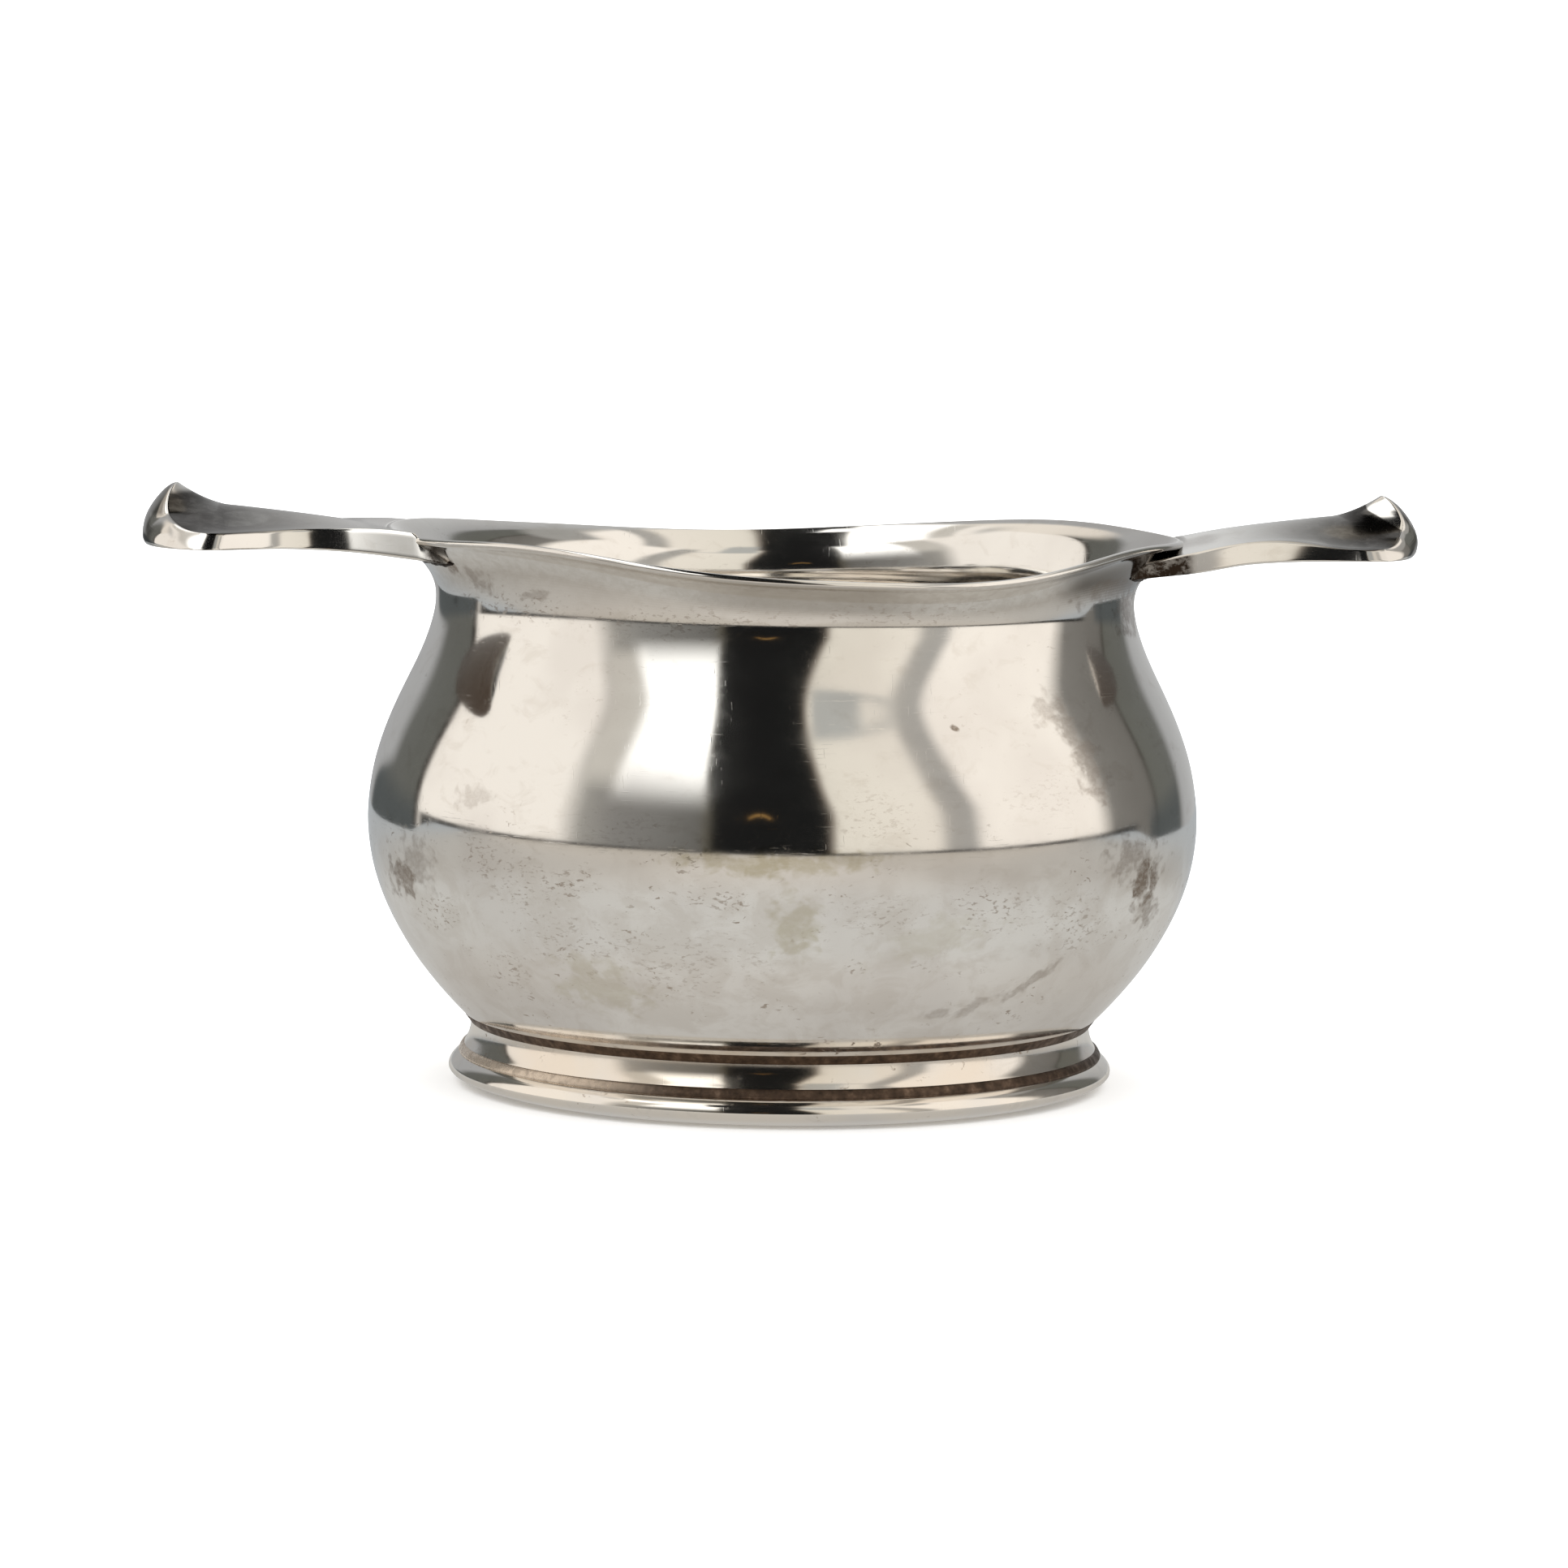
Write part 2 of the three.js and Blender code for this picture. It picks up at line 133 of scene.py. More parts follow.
def bspline(points, steps):
    """Uniform cubic B-spline that starts and ends on the end points, with its tangents."""
    p = np.array(points, float)
    p = np.vstack([2 * p[0] - p[1], p, 2 * p[-1] - p[-2]])
    n = len(p) - 3
    u = np.linspace(0, n, steps + 1)
    i = np.minimum(u.astype(int), n - 1)
    f = (u - i)[:, None]
    a, b, c, d = p[i], p[i + 1], p[i + 2], p[i + 3]
    point = ((1 - f) ** 3 * a + (3 * f ** 3 - 6 * f ** 2 + 4) * b
             + (-3 * f ** 3 + 3 * f ** 2 + 3 * f + 1) * c + f ** 3 * d) / 6
    tangent = (-(1 - f) ** 2 * a + (3 * f ** 2 - 4 * f) * b
               + (-3 * f ** 2 + 2 * f + 1) * c + f ** 2 * d) / 2
    tangent /= np.linalg.norm(tangent, axis=1, keepdims=True)
    return point, tangent


def lip_radius(phi):
    deg = np.degrees(np.arctan2(np.abs(np.sin(phi)), np.abs(np.cos(phi))))
    return LIP_RADIUS + (LIP_RADIUS_HANDLE - LIP_RADIUS) * np.exp(-(deg / LIP_SPREAD) ** 2)


def lip_height(phi):
    z = LIP_MEAN + 0.0 * phi
    for i, (c, s) in enumerate(LIP_WAVE):
        z = z + c * np.cos((i + 1) * phi) + s * np.sin((i + 1) * phi)
    right = np.degrees(np.abs(np.arctan2(np.sin(phi), np.cos(phi))))
    return z + LIP_RIGHT_LIFT * np.exp(-(right / 18) ** 2)


def wave(r, z, phi):
    b = smooth((z - LIP_FREE_FROM) / (LIP_HEIGHT - LIP_FREE_FROM))
    return (r + (lip_radius(phi) - LIP_RADIUS) * b ** 2.4,
            z + (lip_height(phi) - LIP_HEIGHT) * b)


def undulation(phi, z):
    """What the hammer left: a very shallow waviness of the raised sheet, in mm."""
    w = smooth((z - 7) / 9) * (1 - smooth((z - 41) / 5))
    return w * (0.0045 * np.sin(5 * phi + 0.19 * z + 0.4)
                + 0.0030 * np.sin(8 * phi - 0.31 * z + 2.1)
                + 0.0016 * np.sin(13 * phi + 0.42 * z + 1.2)
                + 0.0040 * np.sin(3 * phi - 0.26 * z + 4.0))


def mesh_object(name, verts, faces, smooth_shade=True):
    mesh = bpy.data.meshes.new(name)
    mesh.from_pydata([tuple(v) for v in (np.asarray(verts) * MM).tolist()], [], faces)
    mesh.validate()
    mesh.update()
    if smooth_shade:
        mesh.polygons.foreach_set("use_smooth", [True] * len(mesh.polygons))
    obj = bpy.data.objects.new(name, mesh)
    bpy.context.scene.collection.objects.link(obj)
    return obj


def turned(name, profile, around, bend=None, poles=False):
    """Closed solid of revolution from a loop of (r, z); with poles, the profile
    starts and ends on the axis instead of closing on itself."""
    profile = np.array(profile, float)
    phi = np.linspace(0, 2 * math.pi, around, endpoint=False)
    body = profile[1:-1] if poles else profile
    r = np.repeat(body[:, 0][:, None], around, 1)
    z = np.repeat(body[:, 1][:, None], around, 1)
    p = np.repeat(phi[None, :], len(body), 0)
    if bend:
        r, z = bend(r, z, p)
    verts = np.stack([r * np.cos(p), r * np.sin(p), z], -1).reshape(-1, 3)
    n = len(body)
    faces = []
    rows = n - 1 if poles else n
    for i in range(rows):
        a = i * around
        b = ((i + 1) % n) * around
        for j in range(around):
            k = (j + 1) % around
            faces.append((a + j, a + k, b + k, b + j))
    if poles:
        first = len(verts)
        verts = np.vstack([verts, [0, 0, profile[0, 1]], [0, 0, profile[-1, 1]]])
        for j in range(around):
            k = (j + 1) % around
            faces.append((first, k, j))
            faces.append((first + 1, (n - 1) * around + j, (n - 1) * around + k))
    return mesh_object(name, verts, faces)


# ------------------------------------------------------------------------ bowl
def bowl():
    steps = 210
    point, tangent = bspline(BOWL_OUTER[3:], steps)
    # the lip is short and tightly curved, so its samples lie closer together
    normal = np.stack([tangent[:, 1], -tangent[:, 0]], -1)
    outer = point
    inner = (point - WALL * normal)[::-1]
    end = point[-1] - 0.5 * WALL * normal[-1]
    cap = []
    for a in np.radians(np.linspace(-90, 90, 15)[1:-1]):
        cap.append(end + 0.5 * WALL * (math.cos(a) * tangent[-1] - math.sin(a) * normal[-1]))
    floor = BOWL_OUTER[0][1]
    profile = ([(0, floor), (6, floor), (12, floor), (16, floor)] + outer.tolist()
               + [tuple(c) for c in cap] + inner.tolist()
               + [(16, floor + WALL), (12, floor + WALL), (6, floor + WALL), (0, floor + WALL)])

    def bend(r, z, phi):
        d = undulation(phi, z)
        return wave(r + d, z, phi)

    return turned("bowl", profile, 216, bend, poles=True)


# ------------------------------------------------------------------------ foot
def rounded_loop(points, steps):
    """Closed smooth loop through rounded corners: closed uniform cubic B-spline."""
    p = np.array(points, float)
    n = len(p)
    u = np.linspace(0, n, steps, endpoint=False)
    i = u.astype(int)
    f = (u - i)[:, None]
    a, b, c, d = p[(i - 1) % n], p[i % n], p[(i + 1) % n], p[(i + 2) % n]
    return ((1 - f) ** 3 * a + (3 * f ** 3 - 6 * f ** 2 + 4) * b
            + (-3 * f ** 3 + 3 * f ** 2 + 3 * f + 1) * c + f ** 3 * d) / 6


def foot_collar():
    # the face that shows, from its foot up to the seat under the bowl
    face = [(28.78, 3.02), (28.76, 3.10), (28.66, 3.40), (28.46, 3.72), (28.28, 4.08),
            (28.14, 4.48), (28.06, 4.88), (28.02, 5.25), (28.00, 5.55), (27.98, 5.75)]
    back = [(28.0, 5.55), (27.3, 4.9), (26.6, 4.4), (26.25, 4.05), (26.2, 3.7), (26.2, 3.3),
            (26.22, 3.06), (26.6, 3.0), (27.4, 3.0), (28.2, 3.0), (28.6, 3.0)]
    return turned("collar", rounded_loop(face + back, 110), 240)


def foot_base():
    face = [(26.7, 0.0), (27.0, 0.0), (27.35, 0.05), (27.8, 0.16), (28.3, 0.32), (28.8, 0.47),
            (29.25, 0.62), (29.62, 0.80), (29.88, 1.00), (30.02, 1.25), (30.02, 1.52),
            (29.92, 1.84), (29.70, 2.16), (29.38, 2.46), (29.02, 2.68), (28.74, 2.78),
            (28.5, 2.8), (28.0, 2.8), (27.2, 2.8), (26.5, 2.8), (26.24, 2.76),
            (26.2, 2.5), (26.2, 1.8), (26.2, 1.0), (26.2, 0.4), (26.22, 0.06), (26.5, 0.0)]
    return turned("base_ring", rounded_loop(face, 130), 240)


def foot_seams():
    # solder drawn into the corner under the bowl, and into the joint lower down
    upper = [(27.4, 5.35), (27.85, 5.42), (28.08, 5.50), (28.17, 5.62), (28.29, 5.79),
             (28.43, 5.98), (28.57, 6.16), (28.68, 6.30), (28.60, 6.40), (28.3, 6.17), (27.9, 5.85),
             (27.4, 5.55)]
    lower = [(27.0, 2.75), (28.0, 2.62), (28.8, 2.56), (29.12, 2.62), (29.14, 2.78), (29.06, 2.98),
             (28.94, 3.20), (28.78, 3.42), (28.5, 3.44), (28.2, 3.2), (27.6, 3.06), (27.0, 3.0)]
    return (turned("foot_solder", rounded_loop(upper, 52), 240),
            turned("ring_solder", rounded_loop(lower, 48), 240))


# --------------------------------------------------------------------- handles
right_width, left_width = Spline(HALF_WIDTH_RIGHT), Spline(HALF_WIDTH_LEFT)
under_base, under_lift = Spline(HANDLE_UNDER), Spline(UNDER_LIFT)
spine_base, spine_lift = Spline(HANDLE_SPINE), Spline(SPINE_LIFT)
edge_base, edge_lift = Spline(HANDLE_EDGE), Spline(EDGE_LIFT)


def half_width(s, side):
    # the right lug widens more gently towards its end than the left one
    return right_width(s) if side > 0 else left_width(s)


def under_line(s, side):
    z = under_base(s) - side * under_lift(s)
    return z if side > 0 else z - 0.2 * (1 - smooth((np.asarray(s, float) - 31) / 11))


def spine_line(s, side):
    return spine_base(s) - side * spine_lift(s)


def edge_line(s, side):
    return edge_base(s) - side * edge_lift(s)


def end_top(t, side):
    k = 0 if side > 0 else 1
    a = np.abs(t)
    return (HANDLE_TIP[k] + (1.3, 0.85)[k] * np.sin(np.minimum(1, a / 4.2) * math.pi / 2)
            - END_CUT[k] * (np.maximum(0, a - 3.8) / 8.4) ** END_POWER[k] - 0.4 * (a / 12.2) ** 14)


def end_under(t, side):
    k = 0 if side > 0 else 1
    a = np.abs(t) / 12.2
    return HANDLE_REACH[k] - 5.0 * a ** END_FOOT[k] - 0.4 * a ** 14


def rounded_corner(v, u):
    """Draw the corners of the end inwards: v from root to end, u from side to side."""
    a = np.maximum(0.0, (np.abs(u) - CORNER_FROM[0]) / (1 - CORNER_FROM[0]))
    b = np.maximum(0.0, (v - CORNER_FROM[1]) / (1 - CORNER_FROM[1]))
    u = u - np.sign(u) * (1 - CORNER_FROM[0]) * CORNER_ROUND * a * b * b
    v = v - (1 - CORNER_FROM[1]) * CORNER_ROUND * b * a * a
    return v, u


def mid_sheet():
    """Samples (r, z) of the middle of the bowl's sheet near the lip."""
    point, tangent = bspline(BOWL_OUTER[3:], 400)
    normal = np.stack([tangent[:, 1], -tangent[:, 0]], -1)
    mid = point - 0.5 * WALL * normal
    return mid[mid[:, 1] > 43.6]


MID = mid_sheet()


def mid_height(r, phi):
    """Height of the middle of the flared sheet at radius r, for one direction."""
    rr, zz = wave(MID[:, 0], MID[:, 1], np.full(len(MID), phi))
    k = int(np.argmin(rr))
    return float(np.interp(r, rr[k:], zz[k:])), float(rr[k]), float(rr[-1])


def root_distance(t, side):
    """Where, at width t, the underside meets the middle of the sheet."""
    s = 32.5
    for _ in range(60):
        r = math.hypot(s, t)
        phi = math.atan2(side * t, side * s)
        z, r_min, r_max = mid_height(r, phi)
        error = z - float(under_line(s, side))
        s -= error * 0.35
        s = min(max(s, 24.0), 36.0)
    return s


def handle(side):
    nv, nu = 120, 76
    e = 0.30
    tt = np.linspace(-14.5, 14.5, 59)
    root = np.array([root_distance(float(t), side) for t in tt])

    def root_at(t):
        return np.interp(t, tt, root)

    def plan(v, u, end):
        lean = WALL_LEAN[0 if side > 0 else 1]
        v, u = rounded_corner(v, u)
        extra = -lean if end is end_top else lean
        s = 32 + (54.4 - 32) * v
        t = u * (half_width(s, side) + extra)
        for _ in range(40):
            s0 = root_at(t)
            s = 0.5 * s + 0.5 * (s0 + (end(t, side) - s0) * v)
            t = u * (half_width(s, side) + extra)
        return s, t

    def top(v, u):
        v, u = np.broadcast_arrays(np.asarray(v, float), np.asarray(u, float))
        s, t = plan(v, u, end_top)
        g = 0.5 * (1 + np.cos(math.pi * u))
        d = np.maximum(0.0, end_top(t, side) - s)
        beak = np.maximum(0.0, 1 - (np.sqrt(t * t + 0.49) - 0.7) / CURL_WIDTH) ** 1.15
        curl = CURL_HEIGHT[0 if side > 0 else 1] * beak * np.maximum(0.0, 1 - d / CURL_LENGTH) ** 1.75
        z = edge_line(s, side) * (1 - g) + spine_line(s, side) * g + curl
        # under the lip the lug stays inside the sheet of the bowl
        zc = z.copy()
        flat_s, flat_t, flat_z = s.ravel(), t.ravel(), z.ravel()
        out = zc.ravel()
        for k in range(out.size):
            if flat_s[k] > 38.5:
                continue
            r = math.hypot(flat_s[k], flat_t[k])
            phi = math.atan2(side * flat_t[k], side * flat_s[k])
            zm, r_min, r_max = mid_height(r, phi)
            if r < r_max + 0.35:
                w = float(smooth((r_max + 0.35 - r) / 0.6))
                under = float(under_line(flat_s[k], side))
                low = max(min(zm, flat_z[k]), under + 0.02)
                out[k] = mix(flat_z[k], low, w)
        return np.stack([s, t, out.reshape(z.shape)], -1)

    def under(v, u):
        v, u = np.broadcast_arrays(np.asarray(v, float), np.asarray(u, float))
        s, t = plan(v, u, end_under)
        return np.stack([s, t, under_line(s, side)], -1)

    # boundary of the top: left side from root to end, the end, right side back
    fine_v = np.sort(np.concatenate([1 - (1 - np.linspace(0, 1, nv + 1)) ** 1.35]))
    u_line = np.sin(np.linspace(-math.pi / 2, math.pi / 2, nu + 1)) * 0.35 + np.linspace(-1, 1, nu + 1) * 0.65
    length = 24.0
    vin = 1 - e / length

    def grid(fn):
        V = fine_v * vin
        rows = []
        for v in V:
            s, t = plan(np.full(nu + 1, v), u_line, end_top)
            shrink = 1 - e / np.maximum(half_width(s, side), 5)
            rows.append(fn(np.full(nu + 1, v), u_line * shrink))
        return np.array(rows)

    top_grid = grid(top)
    low_grid = grid(under)

    def around(fn):
        """Sharp edge of the top or the underside, in boundary order."""
        a = [fn(v, -1.0) for v in fine_v]
        b = [fn(1.0, u) for u in u_line[1:-1]]
        c = [fn(v, 1.0) for v in fine_v[::-1]]
        return np.array([np.asarray(p).reshape(3) for p in a + b + c])

    top_edge = around(top)
    low_edge = around(under)
    # inset boundary in the same order
    def border(g):
        return np.vstack([g[:, 0], g[-1, 1:-1], g[::-1, -1]])

    top_in, low_in = border(top_grid), border(low_grid)
    # how far each boundary point lies along the end, for the bulge of the end face
    m = len(top_edge)
    bulge = np.zeros(m)
    first, last = nv + 1, nv + 1 + nu - 1
    bulge[first:last] = 0.9 * (1 - u_line[1:-1] ** 2)
    height = top_edge[:, 2] - low_edge[:, 2]
    soft = np.minimum(1.0, height / 0.8)

    def wall(f):
        p = top_edge + (low_edge - top_edge) * f
        p = p.copy()
        p[:, 0] += bulge * math.sin(min(max(f, 0), 1) * math.pi) ** 0.8
        p[:, 2] += bulge * math.sin(min(max(f, 0), 1) * math.pi) ** 0.8 * 0.15
        return p

    f_top = 0.14
    f_low = 0.86
    strips = [top_in]
    w_top, w_low = wall(f_top), wall(f_low)
    for q in np.linspace(0, 1, 7)[1:-1]:
        strips.append((1 - q) ** 2 * top_in + 2 * q * (1 - q) * top_edge + q * q * w_top)
    for f in np.linspace(f_top, f_low, 11):
        strips.append(wall(f))
    for q in np.linspace(0, 1, 7)[1:-1]:
        strips.append((1 - q) ** 2 * w_low + 2 * q * (1 - q) * low_edge + q * q * low_in)
    strips.append(low_in)

    verts = []
    index_top = np.zeros((nv + 1, nu + 1), int)
    index_low = np.zeros((nv + 1, nu + 1), int)
    for i in range(nv + 1):
        for j in range(nu + 1):
            index_top[i, j] = len(verts)
            verts.append(top_grid[i, j])
    for i in range(nv + 1):
        for j in range(nu + 1):
            index_low[i, j] = len(verts)
            verts.append(low_grid[i, j])
    border_top = np.concatenate([index_top[:, 0], index_top[-1, 1:-1], index_top[::-1, -1]])
    border_low = np.concatenate([index_low[:, 0], index_low[-1, 1:-1], index_low[::-1, -1]])
    chain = [border_top]
    for strip in strips[1:-1]:
        ids = np.arange(len(verts), len(verts) + m)
        verts.extend(strip)
        chain.append(ids)
    chain.append(border_low)
    faces = []
    for i in range(nv):
        for j in range(nu):
            faces.append((index_top[i, j], index_top[i + 1, j], index_top[i + 1, j + 1], index_top[i, j + 1]))
            faces.append((index_low[i, j], index_low[i, j + 1], index_low[i + 1, j + 1], index_low[i + 1, j]))
    for a, b in zip(chain[:-1], chain[1:]):
        for k in range(m - 1):
            faces.append((a[k], b[k], b[k + 1], a[k + 1]))
    # the root end, from the top row across the strips to the bottom row
    left_col = [c[0] for c in chain]
    right_col = [c[-1] for c in chain]
    ring = list(index_top[0, :]) + right_col[1:] + list(index_low[0, ::-1])[1:] + left_col[::-1][1:-1]
    centre = len(verts)
    verts.append(np.mean([verts[k] for k in ring], axis=0))
    for k in range(len(ring)):
        faces.append((ring[k], ring[(k + 1) % len(ring)], centre))
    verts = np.array(verts, float)
    if side < 0:
        verts[:, 0] *= -1
        verts[:, 1] *= -1
    faces = [tuple(int(x) for x in f) for f in faces]
    obj = mesh_object("handle_" + ("l" if side < 0 else "r"), verts, faces)
    return obj


def handle_solder(side):
    """A thin bead of solder along the joint of a lug with the bowl."""
    path = []
    for t in np.linspace(-11.9, 11.9, 90):
        s = root_distance(float(t), side)
        s += 0.62
        path.append((s, t, float(under_line(s, side)) + 0.05))
    path = np.array(path)
    n = len(path)
    k = 14
    verts, faces = [], []
    for i in range(n):
        a = path[min(i + 1, n - 1)] - path[max(i - 1, 0)]
        a /= np.linalg.norm(a)
        x = np.cross(a, (0, 0, 1.0))
        x /= np.linalg.norm(x)
        z = np.cross(x, a)
        taper = min(1.0, min(i, n - 1 - i) / 6.0 + 0.15)
        r = (0.34 + 0.05 * math.sin(i * 0.9) + 0.04 * math.sin(i * 2.3 + 1)) * taper
        for j in range(k):
            q = 2 * math.pi * j / k
            verts.append(path[i] + x * r * math.cos(q) + z * r * math.sin(q))
    for i in range(n - 1):
        for j in range(k):
            j2 = (j + 1) % k
            faces.append((i * k + j, i * k + j2, (i + 1) * k + j2, (i + 1) * k + j))
    faces.append(tuple(range(k))[::-1])
    faces.append(tuple((n - 1) * k + j for j in range(k)))
    verts = np.array(verts)
    if side < 0:
        verts[:, 0] *= -1
        verts[:, 1] *= -1
    return mesh_object("lug_solder_" + ("l" if side < 0 else "r"), verts, faces)


# ------------------------------------------------------------------- materials
# level directions across and towards the front of the bowl as it is seen from its front
YAW = math.radians(5.0)
RIGHT = Vector((math.cos(YAW), -math.sin(YAW), 0.0))
TOWARD = Vector((-math.sin(YAW), -math.cos(YAW), 0.0))


def lin(c):
    """A colour of 0-255 screen values as linear light."""
    out = []
    for v in c:
        v = v / 255.0
        out.append(v / 12.92 if v <= 0.04045 else ((v + 0.055) / 1.055) ** 2.4)
    return tuple(out) + (1.0,)


class Nodes:
    def __init__(self, tree):
        self.tree = tree
        self.tree.nodes.clear()

    def new(self, kind, **values):
        node = self.tree.nodes.new(kind)
        for key, value in values.items():
            setattr(node, key, value)
        return node

    def link(self, a, b):
        self.tree.links.new(a, b)

    def value(self, socket, v):
        if hasattr(v, "is_output"):
            self.link(v, socket)
        else:
            socket.default_value = v

    def math(self, op, a, b=0.0, c=None, clamp=False):
        node = self.new("ShaderNodeMath", operation=op, use_clamp=clamp)
        self.value(node.inputs[0], a)
        self.value(node.inputs[1], b)
        if c is not None:
            self.value(node.inputs[2], c)
        return node.outputs[0]

    def vector(self, op, a, b=None, out=0):
        node = self.new("ShaderNodeVectorMath", operation=op)
        self.value(node.inputs[0], a)
        if b is not None:
            self.value(node.inputs[1], b)
        return node.outputs[out]

    def step(self, x, lo, hi, to_lo=0.0, to_hi=1.0, kind="SMOOTHSTEP"):
        node = self.new("ShaderNodeMapRange", interpolation_type=kind)
        node.clamp = True
        for socket, v in zip(node.inputs, (x, lo, hi, to_lo, to_hi)):
            self.value(socket, v)
        return node.outputs[0]

    def ramp(self, fac, stops, interpolation="LINEAR"):
        node = self.new("ShaderNodeValToRGB")
        node.color_ramp.interpolation = interpolation
        elements = node.color_ramp.elements
        while len(elements) > 1:
            elements.remove(elements[-1])
        elements[0].position, elements[0].color = stops[0][0], stops[0][1]
        for position, colour in stops[1:]:
            e = elements.new(position)
            e.color = colour
        self.value(node.inputs[0], fac)
        return node.outputs[0]

    def mix(self, fac, a, b, mode="MIX"):
        node = self.new("ShaderNodeMix", data_type="RGBA", blend_type=mode)
        self.value(node.inputs[0], fac)
        self.value(node.inputs[6], a)
        self.value(node.inputs[7], b)
        return node.outputs[2]

    def noise(self, vector, scale, detail=2.0, rough=0.5, distortion=0.0):
        node = self.new("ShaderNodeTexNoise")
        self.value(node.inputs["Vector"], vector)
        node.inputs["Scale"].default_value = scale
        node.inputs["Detail"].default_value = detail
        node.inputs["Roughness"].default_value = rough
        node.inputs["Distortion"].default_value = distortion
        return node.outputs["Fac"]

    def mapped(self, vector, scale=(1, 1, 1), offset=(0, 0, 0), turn=(0, 0, 0)):
        node = self.new("ShaderNodeMapping")
        self.value(node.inputs["Vector"], vector)
        node.inputs["Scale"].default_value = scale
        node.inputs["Location"].default_value = offset
        node.inputs["Rotation"].default_value = turn
        return node.outputs[0]


def material(name):
    m = bpy.data.materials.new(name)
    m.use_nodes = True
    return m, Nodes(m.node_tree)


SILVER = lin((247, 244, 239))

# Tarnish on the front of the bowl: distance to the right of its middle, height,
# half width, half height in mm, turn in degrees, strength
STAINS = [
    (-33.3, 20.0, 1.5, 1.7, 20, 0.75), (-32.0, 21.6, 1.4, 2.4, 8, 0.40),
    (31.7, 20.6, 1.3, 2.6, -8, 0.85), (31.0, 23.2, 2.2, 1.8, 0, 0.45), (32.3, 18.3, 0.8, 1.9, 0, 0.60),
    (24.6, 34.6, 1.0, 2.8, 22, 0.42), (26.6, 31.6, 1.2, 3.0, 24, 0.44), (22.9, 36.6, 1.2, 1.3, 30, 0.30),
    (-27.0, 28.2, 1.5, 1.2, 30, 0.24), (21.6, 12.7, 2.9, 0.42, 34, 0.40), (16.9, 10.9, 2.4, 0.50, 20, 0.34),
    (14.8, 35.2, 0.42, 0.25, -30, 0.80), (13.4, 10.2, 1.2, 0.45, 10, 0.30),
    (-29.9, 47.7, 2.4, 0.55, -24, 0.85), (-27.2, 46.6, 2.2, 0.7, -30, 0.45),
    (33.0, 46.6, 1.6, 0.9, 20, 0.85), (31.0, 43.8, 1.8, 2.0, 0, 0.6), (29.0, 45.9, 3.4, 1.0, 12, 0.40), (-22.0, 45.6, 1.2, 0.5, 0, 0.35),
]
DASHES = [
    (-30.3, 17.4, 2.6, 1.7, 24, 0.60), (-26.2, 23.2, 1.7, 2.4, 0, 0.45), (-22.7, 20.9, 2.2, 3.0, 0, 0.45),
    (-18.4, 21.6, 3.0, 1.4, 12, 0.60), (-5.8, 20.9, 3.2, 1.2, 0, 0.50), (-17.0, 16.6, 5.0, 2.0, 0, 0.40),
    (-23.6, 12.8, 2.2, 1.9, 30, 0.50), (18.0, 19.8, 4.2, 2.2, -6, 0.52), (8.5, 19.4, 4.0, 1.8, 0, 0.36),
    (25.5, 17.6, 3.4, 3.0, 0, 0.40), (8.0, 28.2, 3.4, 2.6, 0, 0.20), (-14.0, 26.4, 5.0, 2.0, 0, 0.16),
    (6.3, 15.0, 1.4, 0.7, -30, 0.60), (-8.0, 15.0, 8.0, 3.4, 0, 0.26), (23.0, 29.4, 3.6, 2.2, 0, 0.14),
    (-8.0, 43.9, 10.0, 1.6, 0, 0.34), (10.0, 45.0, 9.0, 1.2, 0, 0.28), (-24.0, 44.5, 6.0, 1.4, 0, 0.45),
]
# Olive-grey tarnish spots, in the same columns; the two spots across the middle at 24 mm height are painted shade
OLIVE_TARNISH_AND_SHADE = [(-0.9, 24.0, 2.8, 1.4, 0, 1.0), (-0.4, 24.2, 8.5, 1.1, 0, 0.8), (1.3, 18.6, 2.2, 2.8, 12, 0.8), (-15.2, 12.5, 4.2, 2.4, -16, 0.55),
         (13.4, 17.4, 5.0, 1.6, 12, 0.35)]


